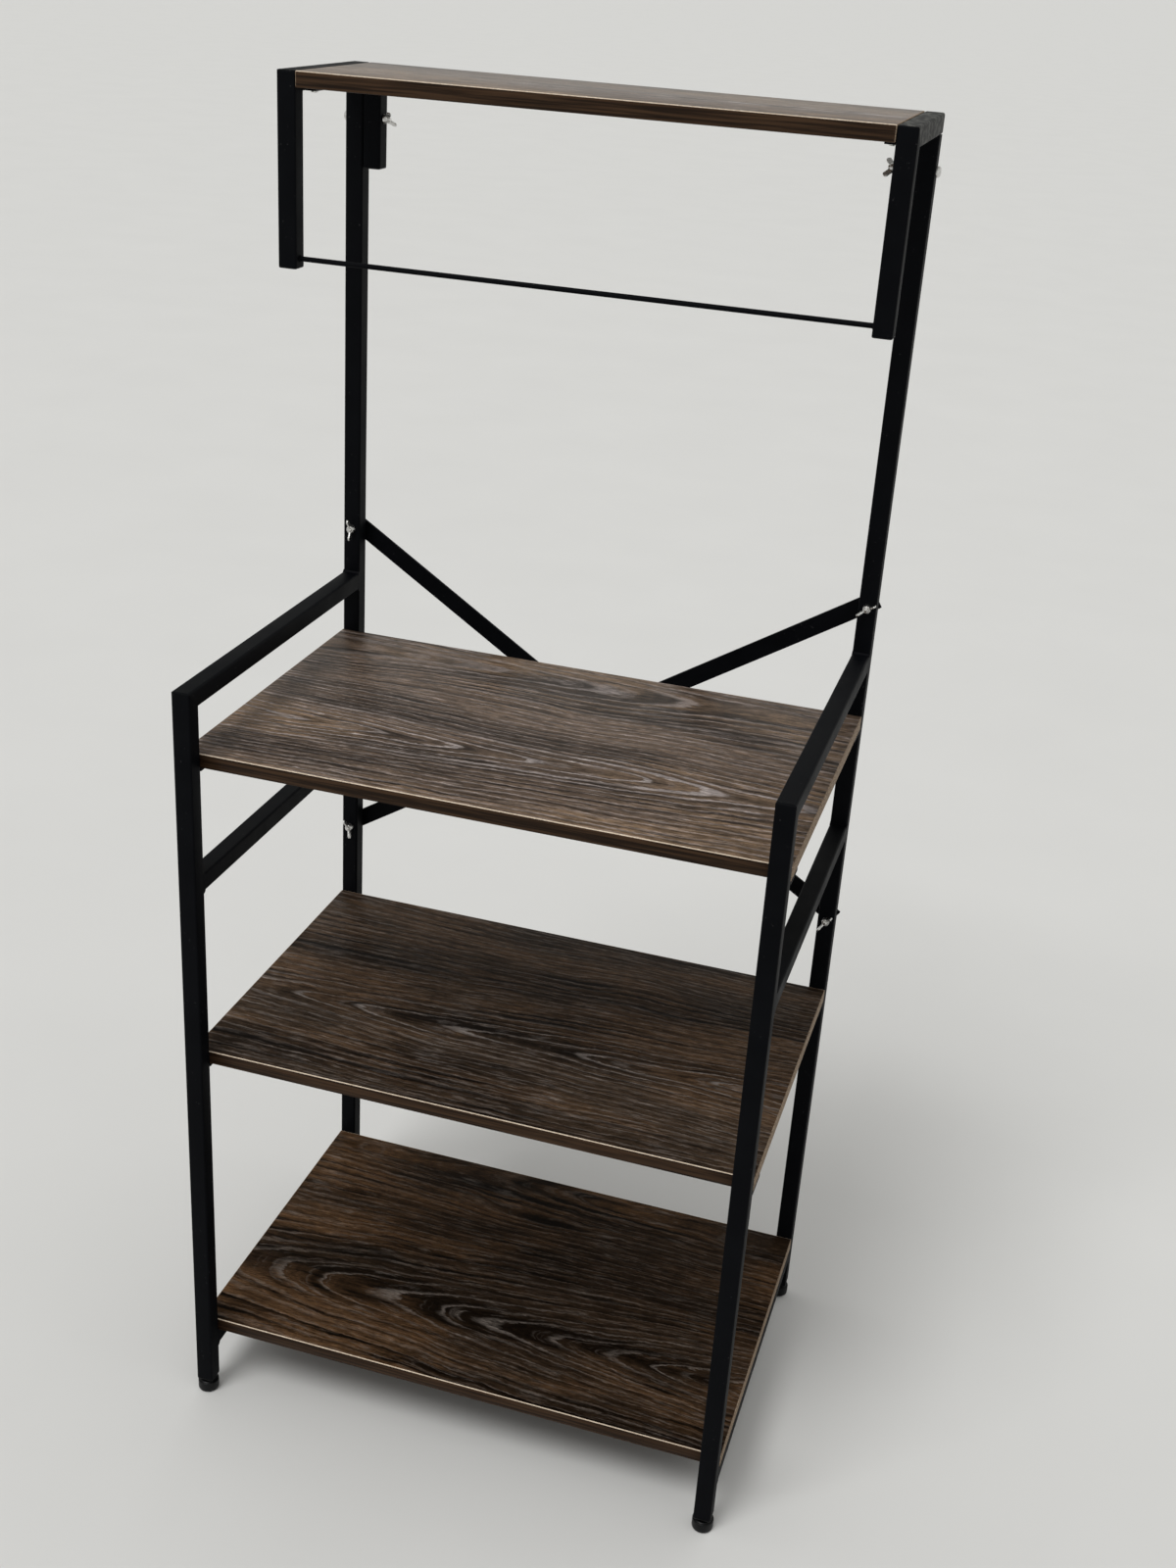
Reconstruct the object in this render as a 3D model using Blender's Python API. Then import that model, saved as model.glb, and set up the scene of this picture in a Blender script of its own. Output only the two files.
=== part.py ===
"""Tall open kitchen stand that holds a microwave oven.

Two welded side frames of square steel tube carry three boards. Two flat bars cross behind
the posts and hold the frames apart. A bolted unit on the posts' tops carries a narrow top
board and a towel rod. Metres, +Z up, front facing -Y, origin on the floor at the middle.
"""

import math

import bmesh
import bpy
from mathutils import Vector

# Overall sizes
FRAME_WIDTH = 0.600
FRAME_DEPTH = 0.415
TOTAL_HEIGHT = 1.395

# Square steel tube of the frames
TUBE = 0.019
TUBE_WALL = 0.0012
TUBE_CORNER = 0.0022
CORNER_STEPS = 4

# Heights of the tops of the rails and the boards
ARM_TOP = 0.858
SIDE_RAIL_TOP = 0.658
MICROWAVE_SHELF_TOP = 0.789
MIDDLE_SHELF_TOP = 0.449
BOTTOM_SHELF_TOP = 0.092

# Boards
BOARD = 0.015
BOARD_EDGE = 0.0007
TOP_BOARD_DEPTH = 0.177

# Top unit, measured down from its own top
DROP_LEG_LENGTH = 0.181
HANGER_REACH = 0.101
TOP_BOLT_DROP = 0.052
ROD_RADIUS = 0.0025
ROD_RISE = 0.0095
LEDGE_WIDTH = 0.012
PLATE = 0.003
TAB_LENGTH = 0.032
SCREW_HOLE_RADIUS = 0.0022
SCREW_INSET = 0.010

# Cross brace
BAR_WIDTH = 0.019
BAR_THICKNESS = 0.003
BAR_BEYOND_BOLT = 0.0085
UPPER_BOLT_HEIGHT = 0.909
LOWER_BOLT_HEIGHT = 0.537
BOW_STEPS = 32
RIVET_RADIUS = 0.0025
RIVET_HEAD_RADIUS = 0.005
RIVET_HEAD = 0.0015

# Section of a domed head from its crown to its rim, as shares of the head's radius and height
DOME = ((0.0, 1.0), (0.55, 0.93), (0.87, 0.62), (1.0, 0.2), (1.0, 0.0))

# Bolts and wing nuts
BOLT_RADIUS = 0.0025
BOLT_HEAD_RADIUS = 0.0055
BOLT_HEAD = 0.004
BOLT_TIP = 0.0006
BOLT_PAST_HUB = 0.002
HUB_BASE_RADIUS = 0.005
HUB_TOP_RADIUS = 0.0039
HUB_HEIGHT = 0.005
WING_SPAN = 0.0238
WING_HEIGHT = 0.0106
WING_LOBE_RADIUS = 0.0034
WING_THICKNESS = 0.0018
WING_INTO_HUB = 0.0005
LOBE_ARC = (-60, 150)
LOBE_STEPS = 9

# Levelling feet and plastic plugs
FOOT_RADIUS = 0.0115
FOOT_HEIGHT = 0.0125
FOOT_ROUND = 0.003
FOOT_SHOULDER = 0.0015
STEM_RADIUS = 0.003
STEM_SHOWN = 0.0034
STEM_ABOVE_INSERT = 0.004
INSERT_LENGTH = 0.018
INSERT_FLANGE = 0.0023
PLUG_LENGTH = 0.009
PLUG_FLANGE = 0.0015
PLUG_TAPER = 0.0006

# Gap between pieces that touch, and between a hole and what passes through it
SEAT = 0.0003
ROUND_STEPS = 24
HOLE_STEPS = 20

# Places that follow from the sizes above
BORE = TUBE - 2 * TUBE_WALL
BORE_CORNER = max(TUBE_CORNER - TUBE_WALL, 0.0003)
HALF_TUBE = TUBE / 2
SIDE_X = FRAME_WIDTH / 2 - HALF_TUBE
MITRE_RELIEF = SEAT * math.sqrt(2) / 2
BOW = BAR_THICKNESS + 2 * SEAT
RIVET_REACH = SEAT + BOW + BAR_THICKNESS + SEAT + RIVET_HEAD
BOLT_REACH = SEAT + BAR_THICKNESS + SEAT + BOLT_HEAD
FRONT_REACH = max(FOOT_RADIUS - HALF_TUBE, 0.0)
BACK_REACH = max(RIVET_REACH, BOLT_REACH)
FRONT = (FRONT_REACH - FRAME_DEPTH - BACK_REACH) / 2
BACK = FRONT + FRAME_DEPTH
LEG_Y = FRONT + HALF_TUBE
POST_Y = BACK - HALF_TUBE
LEG_BACK = FRONT + TUBE + SEAT
POST_FRONT = BACK - TUBE - SEAT
LEG_BOTTOM = FOOT_HEIGHT + STEM_SHOWN + INSERT_FLANGE + SEAT
POST_TOP = TOTAL_HEIGHT - TUBE - SEAT
TOP_FRONT = BACK - TOP_BOARD_DEPTH
DROP_Y = TOP_FRONT + HALF_TUBE
DROP_BOTTOM = TOTAL_HEIGHT - DROP_LEG_LENGTH
HANGER_BOTTOM = TOTAL_HEIGHT - HANGER_REACH
HANGER_TOP = TOTAL_HEIGHT - BOARD - SEAT
HANGER_INSET = TUBE + SEAT
TOP_BOLT_HEIGHT = TOTAL_HEIGHT - TOP_BOLT_DROP
ROD_HEIGHT = DROP_BOTTOM + ROD_RISE
TUBE_END = PLUG_FLANGE + SEAT
SIDES = (("left", 1), ("right", -1))


def clear_scene():
    for obj in list(bpy.data.objects):
        bpy.data.objects.remove(obj)


def material(name, colour, roughness, metallic=0.0):
    made = bpy.data.materials.new(name)
    made.use_nodes = True
    shader = made.node_tree.nodes["Principled BSDF"]
    shader.inputs["Base Color"].default_value = (*colour, 1.0)
    shader.inputs["Roughness"].default_value = roughness
    shader.inputs["Metallic"].default_value = metallic
    return made


clear_scene()
POWDER_COAT = material("black_powder_coat", (0.011, 0.011, 0.013), 0.42)
WALNUT = material("dark_walnut_board", (0.085, 0.050, 0.033), 0.38)
ZINC = material("bright_zinc", (0.72, 0.71, 0.68), 0.28, 1.0)
PLASTIC = material("black_plastic", (0.014, 0.014, 0.014), 0.55)


def add_object(name, mesh, finish, location=(0, 0, 0), rotation=(0, 0, 0), parent=None):
    obj = bpy.data.objects.new(name, mesh)
    bpy.context.collection.objects.link(obj)
    obj.location = location
    obj.rotation_euler = [math.radians(angle) for angle in rotation]
    obj.parent = parent
    if finish and not mesh.materials:
        mesh.materials.append(finish)
    return obj


def add_empty(name, location, rotation=(0, 0, 0), parent=None):
    return add_object(name, None, None, location, rotation, parent)


def mesh_from(name, bm, smooth_angle=None):
    """Closes the edit of a mesh, with its faces turned outward."""
    bmesh.ops.recalc_face_normals(bm, faces=bm.faces)
    mesh = bpy.data.meshes.new(name)
    bm.to_mesh(mesh)
    bm.free()
    if smooth_angle:
        mesh.shade_smooth()
        mesh.set_sharp_from_angle(angle=math.radians(smooth_angle))
    return mesh


def rounded_square(size, corner):
    """Section of a square tube, counter-clockwise, with an arc at each corner."""
    reach = size / 2 - corner
    points = []
    for quarter in range(4):
        middle = math.radians(45 + 90 * quarter)
        centre_x = math.copysign(reach, math.cos(middle))
        centre_y = math.copysign(reach, math.sin(middle))
        for step in range(CORNER_STEPS + 1):
            angle = math.radians(90 * quarter + 90 * step / CORNER_STEPS)
            point = (centre_x + corner * math.cos(angle), centre_y + corner * math.sin(angle))
            points.append(point)
    return points


def add_ring(bm, outline, height=0.0):
    """A closed loop of edges through the outline's points."""
    verts = [bm.verts.new((x, y, height)) for x, y in outline]
    return [bm.edges.new((a, b)) for a, b in zip(verts, verts[1:] + verts[:1])]


def extrude_up(bm, faces, height):
    grown = bmesh.ops.extrude_face_region(bm, geom=faces)
    verts = [item for item in grown["geom"] if isinstance(item, bmesh.types.BMVert)]
    bmesh.ops.translate(bm, verts=verts, vec=(0, 0, height))
    return verts


def tube(name, length, start_slope=0, end_slope=0):
    """Square tube along local +Z. A slope of 1 or -1 cuts that end at 45 degrees across Y."""
    bm = bmesh.new()
    edges = add_ring(bm, rounded_square(TUBE, TUBE_CORNER))
    edges += add_ring(bm, rounded_square(BORE, BORE_CORNER))
    section = bmesh.ops.bridge_loops(bm, edges=edges)["faces"]
    far_end = extrude_up(bm, section, length)
    for vert in bm.verts:
        vert.co.z += (end_slope if vert in far_end else start_slope) * vert.co.y
    return mesh_from(name, bm, 30)


def solid_of_sections(name, sections):
    """Closed solid through square sections, each given as size, corner and height."""
    bm = bmesh.new()
    rings = []
    for size, corner, height in sections:
        rings.append(add_ring(bm, rounded_square(size, corner), height))
    for lower, upper in zip(rings, rings[1:]):
        bmesh.ops.bridge_loops(bm, edges=lower + upper)
    bmesh.ops.contextual_create(bm, geom=rings[0])
    bmesh.ops.contextual_create(bm, geom=rings[-1])
    return mesh_from(name, bm, 30)


def turned(name, profile, steps=ROUND_STEPS):
    """Solid of revolution about Z through the profile's (radius, height) points."""
    bm = bmesh.new()
    verts = [bm.verts.new((radius, 0, height)) for radius, height in profile]
    edges = [bm.edges.new(pair) for pair in zip(verts, verts[1:])]
    bmesh.ops.spin(
        bm, geom=verts + edges, cent=(0, 0, 0), axis=(0, 0, 1),
        angle=math.tau, steps=steps, use_merge=True,
    )
    bmesh.ops.remove_doubles(bm, verts=bm.verts, dist=1e-6)
    return mesh_from(name, bm, 30)


def plate(name, size):
    """Rectangular plate or board centred on its own origin."""
    bm = bmesh.new()
    bmesh.ops.create_cube(bm, size=1)
    bmesh.ops.scale(bm, verts=bm.verts, vec=size)
    return mesh_from(name, bm)


def arc(centre, radius, first, last, steps):
    """Points of an arc in degrees, as (x, y) pairs."""
    points = []
    for step in range(steps + 1):
        angle = math.radians(first + (last - first) * step / steps)
        points.append((centre[0] + radius * math.cos(angle), centre[1] + radius * math.sin(angle)))
    return points


def domed_head(radius, height):
    """Section of a bolt's or rivet's head below its seat at 0, from the crown to the rim."""
    return [(radius * across, -height * down) for across, down in DOME]


def add_boolean(obj, operand, operation):
    cut = obj.modifiers.new(operand.name, "BOOLEAN")
    cut.operation = operation
    cut.object = operand
    operand.hide_render = True
    operand.display_type = "WIRE"


def drill(obj, name, place, direction, radius, depth):
    """Cuts a round hole of this depth, half of it on each side of place, in world metres."""
    bm = bmesh.new()
    bmesh.ops.create_cone(
        bm, cap_ends=True, segments=HOLE_STEPS, radius1=radius, radius2=radius, depth=depth
    )
    cutter = add_object(f"{name}_cutter", mesh_from(name, bm), None, place)
    cutter.rotation_euler = Vector(direction).to_track_quat("Z", "Y").to_euler()
    add_boolean(obj, cutter, "DIFFERENCE")


def side_frame(side, inward):
    """Front leg with its arm rail in one mitred bend, rear post, and two lower side rails."""
    plane = add_empty(f"{side}_side_frame", (-inward * SIDE_X, 0, 0))
    rail_length = POST_FRONT - LEG_BACK

    leg = tube("front_leg", ARM_TOP - HALF_TUBE - MITRE_RELIEF - LEG_BOTTOM, end_slope=-1)
    add_object(f"{side}_front_leg", leg, POWDER_COAT, (0, LEG_Y, LEG_BOTTOM), parent=plane)

    arm_start = LEG_Y + MITRE_RELIEF
    arm = tube("arm_rail", POST_FRONT - arm_start, start_slope=1)
    place = (0, arm_start, ARM_TOP - HALF_TUBE)
    add_object(f"{side}_arm_rail", arm, POWDER_COAT, place, (-90, 0, 0), plane)

    side_rail = tube("side_rail", rail_length)
    place = (0, LEG_BACK, SIDE_RAIL_TOP - HALF_TUBE)
    add_object(f"{side}_side_rail", side_rail, POWDER_COAT, place, (-90, 0, 0), plane)

    bottom_rail = tube("bottom_rail", rail_length)
    place = (0, LEG_BACK, BOTTOM_SHELF_TOP - BOARD - SEAT - HALF_TUBE)
    add_object(f"{side}_bottom_rail", bottom_rail, POWDER_COAT, place, (-90, 0, 0), plane)

    post = tube("rear_post", POST_TOP - LEG_BOTTOM)
    place = (0, POST_Y, LEG_BOTTOM)
    post = add_object(f"{side}_rear_post", post, POWDER_COAT, place, parent=plane)
    for level, height in (("upper", UPPER_BOLT_HEIGHT), ("lower", LOWER_BOLT_HEIGHT)):
        place = (-inward * SIDE_X, POST_Y, height)
        drill(post, f"{side}_{level}_bolt_hole", place, (0, 1, 0), BOLT_RADIUS + SEAT, 2 * TUBE)
    place = (-inward * SIDE_X, POST_Y, TOP_BOLT_HEIGHT)
    drill(post, f"{side}_top_bolt_hole", place, (1, 0, 0), BOLT_RADIUS + SEAT, 2 * TUBE)


def top_bracket(side, inward):
    """Top rail that rests on the post, mitred to the drop leg, with the bolted rear hanger."""
    plane = add_empty(f"{side}_top_bracket", (-inward * SIDE_X, 0, 0))

    rail_start = DROP_Y + MITRE_RELIEF
    rail = tube("top_rail", BACK - TUBE_END - rail_start, start_slope=1)
    place = (0, rail_start, TOTAL_HEIGHT - HALF_TUBE)
    add_object(f"{side}_top_rail", rail, POWDER_COAT, place, (-90, 0, 0), plane)

    leg_start = DROP_BOTTOM + TUBE_END
    leg = tube("drop_leg", TOTAL_HEIGHT - HALF_TUBE - MITRE_RELIEF - leg_start, end_slope=-1)
    add_object(f"{side}_drop_leg", leg, POWDER_COAT, (0, DROP_Y, leg_start), parent=plane)

    hanger_x = inward * HANGER_INSET
    hanger_start = HANGER_BOTTOM + TUBE_END
    hanger = tube("rear_hanger", HANGER_TOP - hanger_start)
    place = (hanger_x, POST_Y, hanger_start)
    hanger = add_object(f"{side}_rear_hanger", hanger, POWDER_COAT, place, parent=plane)
    bolt_place = (-inward * (SIDE_X - HANGER_INSET), POST_Y, TOP_BOLT_HEIGHT)
    radius = BOLT_RADIUS + SEAT
    drill(hanger, f"{side}_hanger_bolt_hole", bolt_place, (1, 0, 0), radius, 2 * TUBE)

    add_plug(f"{side}_drop_leg_plug", (0, DROP_Y, DROP_BOTTOM), (0, 0, 0), plane)
    add_plug(f"{side}_hanger_plug", (hanger_x, POST_Y, HANGER_BOTTOM), (0, 0, 0), plane)
    rail_end = (0, BACK, TOTAL_HEIGHT - HALF_TUBE)
    add_plug(f"{side}_top_rail_plug", rail_end, (90, 0, 0), plane)

    ledge_length = POST_FRONT - TOP_FRONT - TUBE - SEAT
    ledge = plate("board_ledge", (LEDGE_WIDTH, ledge_length, PLATE))
    place = (
        inward * (HALF_TUBE + SEAT + LEDGE_WIDTH / 2),
        POST_FRONT - ledge_length / 2,
        TOTAL_HEIGHT - BOARD - SEAT - PLATE / 2,
    )
    ledge = add_object(f"{side}_board_ledge", ledge, POWDER_COAT, place, parent=plane)
    for end, sign in (("front", -1), ("back", 1)):
        hole = Vector(place) + Vector((-inward * SIDE_X, sign * (ledge_length / 2 - SCREW_INSET), 0))
        name = f"{side}_{end}_ledge_hole"
        drill(ledge, name, hole, (0, 0, 1), SCREW_HOLE_RADIUS, 2 * PLATE)


def add_plug(name, place, rotation, parent):
    """Plastic plug with a flange as wide as the tube, pushed into the tube's end."""
    body = BORE - 2 * SEAT
    body_corner = BORE_CORNER
    mesh = solid_of_sections(
        "tube_plug",
        (
            (TUBE, TUBE_CORNER, 0.0),
            (TUBE, TUBE_CORNER, PLUG_FLANGE),
            (body, body_corner, PLUG_FLANGE),
            (body, body_corner, PLUG_LENGTH - PLUG_TAPER),
            (body - 2 * PLUG_TAPER, body_corner, PLUG_LENGTH),
        ),
    )
    add_object(name, mesh, PLASTIC, place, rotation, parent)


def insert_and_foot(side, inward, end, y):
    """Plastic insert in the tube's lower end, with the levelling foot's stem through it."""
    x = -inward * SIDE_X
    body = BORE - 2 * SEAT
    top = INSERT_FLANGE + INSERT_LENGTH
    mesh = solid_of_sections(
        "leg_insert",
        (
            (TUBE, TUBE_CORNER, 0.0),
            (TUBE, TUBE_CORNER, INSERT_FLANGE),
            (body, BORE_CORNER, INSERT_FLANGE),
            (body, BORE_CORNER, top - PLUG_TAPER),
            (body - 2 * PLUG_TAPER, BORE_CORNER, top),
        ),
    )
    base = FOOT_HEIGHT + STEM_SHOWN
    insert = add_object(f"{side}_{end}_leg_insert", mesh, PLASTIC, (x, y, base))
    place = (x, y, base + top / 2)
    name = f"{side}_{end}_stem_hole"
    drill(insert, name, place, (0, 0, 1), STEM_RADIUS + SEAT, 2 * top)

    stem_top = base + top + STEM_ABOVE_INSERT
    sole = FOOT_RADIUS - FOOT_ROUND
    profile = [(0, 0)]
    profile += arc((sole, FOOT_ROUND), FOOT_ROUND, -90, 0, 4)
    profile += arc((FOOT_RADIUS - FOOT_SHOULDER, FOOT_HEIGHT - FOOT_SHOULDER), FOOT_SHOULDER, 0, 90, 3)
    profile += [(STEM_RADIUS, FOOT_HEIGHT), (STEM_RADIUS, stem_top), (0, stem_top)]
    mesh = turned("levelling_foot", profile)
    add_object(f"{side}_{end}_foot", mesh, PLASTIC, (x, y, 0))


def shelf_tabs(side, inward, shelf, top):
    """Flat tabs welded to the leg and to the post, which hold a board from below."""
    height = top - BOARD - SEAT - PLATE / 2
    x = -inward * SIDE_X
    ends = (("front", LEG_BACK, 1), ("rear", POST_FRONT, -1))
    for end, wall, away in ends:
        mesh = plate("shelf_tab", (TUBE, TAB_LENGTH, PLATE))
        place = (x, wall + away * TAB_LENGTH / 2, height)
        name = f"{side}_{end}_{shelf}_tab"
        tab = add_object(name, mesh, POWDER_COAT, place)
        hole = (x, wall + away * (TAB_LENGTH - SCREW_INSET), height)
        drill(tab, f"{name}_hole", hole, (0, 0, 1), SCREW_HOLE_RADIUS, 2 * PLATE)


def board(name, width, depth, middle_y, top):
    mesh = plate(name, (width, depth, BOARD))
    made = add_object(name, mesh, WALNUT, (0, middle_y, top - BOARD / 2))
    edge = made.modifiers.new("banded_edge", "BEVEL")
    edge.width = BOARD_EDGE
    edge.segments = 2


def boards():
    """Three boards between the legs and the posts, and the narrow one between the top rails."""
    depth = POST_FRONT - LEG_BACK - 2 * SEAT
    middle = (POST_FRONT + LEG_BACK) / 2
    board("microwave_shelf", FRAME_WIDTH, depth, middle, MICROWAVE_SHELF_TOP)
    board("middle_shelf", FRAME_WIDTH, depth, middle, MIDDLE_SHELF_TOP)
    board("bottom_shelf", FRAME_WIDTH, depth, middle, BOTTOM_SHELF_TOP)
    top_width = FRAME_WIDTH - 2 * TUBE - 2 * SEAT
    board("top_board", top_width, TOP_BOARD_DEPTH, BACK - TOP_BOARD_DEPTH / 2, TOTAL_HEIGHT)


def towel_rod():
    """Round rod whose ends are welded to the drop legs' inner walls."""
    reach = SIDE_X - HALF_TUBE - SEAT
    profile = [(0, -reach), (ROD_RADIUS, -reach), (ROD_RADIUS, reach), (0, reach)]
    rod = turned("towel_rod", profile)
    add_object("towel_rod", rod, POWDER_COAT, (0, DROP_Y, ROD_HEIGHT), (0, 90, 0))


def brace_bar(name, slant, bow):
    """Flat bar from one post to the other. The second bar bows back over the first."""
    rise = UPPER_BOLT_HEIGHT - LOWER_BOLT_HEIGHT
    bolt_reach = math.hypot(SIDE_X, rise / 2)
    half = bolt_reach + BAR_BEYOND_BOLT
    bm = bmesh.new()
    bmesh.ops.create_grid(bm, x_segments=BOW_STEPS, y_segments=1, size=1)
    bmesh.ops.scale(bm, verts=bm.verts, vec=(half, BAR_WIDTH / 2, 1))
    extrude_up(bm, list(bm.faces), BAR_THICKNESS)
    for vert in bm.verts:
        share = min(abs(vert.co.x) / bolt_reach, 1.0)
        vert.co.z += bow * math.cos(share * math.pi / 2) ** 2
    mesh = mesh_from(name, bm, 30 if bow else None)
    middle = (0, BACK + SEAT, (UPPER_BOLT_HEIGHT + LOWER_BOLT_HEIGHT) / 2)
    tilt = slant * math.degrees(math.atan2(rise / 2, SIDE_X))
    pivot = add_empty(f"{name}_plane", middle, (-90, 0, 0))
    bar = add_object(name, mesh, POWDER_COAT, rotation=(0, 0, tilt), parent=pivot)
    depth = 4 * BAR_THICKNESS + BOW
    for end in (-1, 1):
        hole = (end * SIDE_X, BACK, middle[2] - end * slant * rise / 2)
        drill(bar, f"{name}_hole", hole, (0, 1, 0), BOLT_RADIUS + SEAT, depth)
    middle_hole = (0, BACK + bow, middle[2])
    drill(bar, f"{name}_middle_hole", middle_hole, (0, 1, 0), RIVET_RADIUS + SEAT, depth)


def cross_brace():
    brace_bar("brace_bar_from_upper_left", 1, 0.0)
    brace_bar("brace_bar_from_upper_right", -1, BOW)
    grip = BOW + BAR_THICKNESS + 2 * SEAT
    head = domed_head(RIVET_HEAD_RADIUS, RIVET_HEAD)
    shank = [(RIVET_RADIUS, 0), (RIVET_RADIUS, grip)]
    far_head = [(radius, grip - height) for radius, height in reversed(head)]
    rivet = turned("brace_rivet", head + shank + far_head, HOLE_STEPS)
    middle = (UPPER_BOLT_HEIGHT + LOWER_BOLT_HEIGHT) / 2
    add_object("brace_rivet", rivet, POWDER_COAT, (0, BACK, middle), (-90, 0, 0))


def wing_nut_mesh():
    """Turned hub with two lobed wings, bored through for the bolt."""
    hub = turned(
        "wing_nut_hub", [(0, 0), (HUB_BASE_RADIUS, 0), (HUB_TOP_RADIUS, HUB_HEIGHT), (0, HUB_HEIGHT)]
    )
    nut = add_object("wing_nut_pattern", hub, ZINC)

    lobe = (WING_SPAN / 2 - WING_LOBE_RADIUS, WING_HEIGHT - WING_LOBE_RADIUS)
    half = [(HUB_BASE_RADIUS - WING_INTO_HUB, WING_INTO_HUB)]
    half += arc(lobe, WING_LOBE_RADIUS, *LOBE_ARC, LOBE_STEPS)
    half += [(HUB_TOP_RADIUS - WING_INTO_HUB, HUB_HEIGHT - WING_INTO_HUB)]
    outline = half + [(-x, height) for x, height in reversed(half)]
    bm = bmesh.new()
    face = bm.faces.new([bm.verts.new((x, -WING_THICKNESS / 2, height)) for x, height in outline])
    grown = bmesh.ops.extrude_face_region(bm, geom=[face])
    verts = [item for item in grown["geom"] if isinstance(item, bmesh.types.BMVert)]
    bmesh.ops.translate(bm, verts=verts, vec=(0, WING_THICKNESS, 0))
    wings = add_object("wing_pattern", mesh_from("wings", bm), None)
    add_boolean(nut, wings, "UNION")
    drill(nut, "thread", (0, 0, 0), (0, 0, 1), BOLT_RADIUS + SEAT, 4 * WING_HEIGHT)

    bpy.context.view_layer.update()
    shaped = nut.evaluated_get(bpy.context.evaluated_depsgraph_get())
    mesh = bpy.data.meshes.new_from_object(shaped)
    mesh.name = "wing_nut"
    for helper in (nut, wings, bpy.data.objects["thread_cutter"]):
        bpy.data.objects.remove(helper)
    return mesh


def bolt_mesh(name, grip):
    """Domed bolt along +Z. Its head's seat is at 0, and it ends just past the nut's hub."""
    length = grip + HUB_HEIGHT + BOLT_PAST_HUB
    shank = [(BOLT_RADIUS, 0), (BOLT_RADIUS, length - BOLT_TIP)]
    end = [(BOLT_RADIUS - BOLT_TIP, length), (0, length)]
    head = domed_head(BOLT_HEAD_RADIUS, BOLT_HEAD)
    return turned(name, head + shank + end, HOLE_STEPS)


def add_fastener(name, head_seat, rotation, grip, nut, turn):
    """Bolt and wing nut on one axis. The empty stands where the bolt's head seats."""
    axis = add_empty(f"{name}_axis", head_seat, rotation)
    add_object(f"{name}_bolt", bolt_mesh("bolt", grip), ZINC, parent=axis)
    add_object(f"{name}_wing_nut", nut, ZINC, (0, 0, grip), (0, 0, turn), axis)


def fasteners():
    """Four bolts through the brace's bars and the posts, and two through posts and hangers."""
    nut = wing_nut_mesh()
    brace_seat = BACK + SEAT + BAR_THICKNESS + SEAT
    brace_grip = brace_seat - (BACK - TUBE) + SEAT
    turns = {"upper_left": 96, "upper_right": 35, "lower_left": 109, "lower_right": 52}
    heights = {"upper": UPPER_BOLT_HEIGHT, "lower": LOWER_BOLT_HEIGHT}
    for level, height in heights.items():
        for side, inward in SIDES:
            name = f"{level}_{side}"
            seat = (-inward * SIDE_X, brace_seat, height)
            add_fastener(f"{name}_brace", seat, (90, 0, 0), brace_grip, nut, turns[name])

    top_grip = SEAT + 2 * TUBE + 2 * SEAT
    top_turns = {"left": 78, "right": 20}
    for side, inward in SIDES:
        seat = (-inward * (FRAME_WIDTH / 2 + SEAT), POST_Y, TOP_BOLT_HEIGHT)
        add_fastener(f"{side}_top", seat, (0, inward * 90, 0), top_grip, nut, top_turns[side])


for side_name, inward_sign in SIDES:
    side_frame(side_name, inward_sign)
    top_bracket(side_name, inward_sign)
    insert_and_foot(side_name, inward_sign, "front", LEG_Y)
    insert_and_foot(side_name, inward_sign, "rear", POST_Y)
    shelf_tabs(side_name, inward_sign, "microwave_shelf", MICROWAVE_SHELF_TOP)
    shelf_tabs(side_name, inward_sign, "middle_shelf", MIDDLE_SHELF_TOP)
boards()
towel_rod()
cross_brace()
fasteners()
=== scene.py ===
import math

import bpy
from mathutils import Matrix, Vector


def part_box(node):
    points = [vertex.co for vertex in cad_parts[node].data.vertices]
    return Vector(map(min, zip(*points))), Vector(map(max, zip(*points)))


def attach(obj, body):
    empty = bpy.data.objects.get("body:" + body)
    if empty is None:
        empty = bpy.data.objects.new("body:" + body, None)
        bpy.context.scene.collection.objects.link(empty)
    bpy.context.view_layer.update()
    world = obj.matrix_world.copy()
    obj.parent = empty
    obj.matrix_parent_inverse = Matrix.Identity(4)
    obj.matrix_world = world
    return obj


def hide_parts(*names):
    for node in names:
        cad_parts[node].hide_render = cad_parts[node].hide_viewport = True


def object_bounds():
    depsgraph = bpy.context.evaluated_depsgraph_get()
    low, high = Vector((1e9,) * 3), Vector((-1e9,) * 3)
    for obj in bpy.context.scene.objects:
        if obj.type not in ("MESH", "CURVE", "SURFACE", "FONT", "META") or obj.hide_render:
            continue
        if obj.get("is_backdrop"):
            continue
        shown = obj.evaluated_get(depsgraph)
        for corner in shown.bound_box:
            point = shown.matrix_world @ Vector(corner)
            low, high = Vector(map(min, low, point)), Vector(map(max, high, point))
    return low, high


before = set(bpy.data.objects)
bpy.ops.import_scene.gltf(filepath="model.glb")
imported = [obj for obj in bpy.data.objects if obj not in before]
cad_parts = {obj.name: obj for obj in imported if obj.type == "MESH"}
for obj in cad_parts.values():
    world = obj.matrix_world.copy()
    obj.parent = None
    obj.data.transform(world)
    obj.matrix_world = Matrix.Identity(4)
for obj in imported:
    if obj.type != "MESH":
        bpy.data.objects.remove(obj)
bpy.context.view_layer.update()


# Side frames
# Each side is a welded frame of 19 mm square steel tube: a front leg mitred into the arm rail, a tall
# rear post, a side rail and a bottom rail. The frames are sprayed with black powder and baked, which
# leaves a satin skin with a fine pebble and a few rubbed specks.

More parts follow.
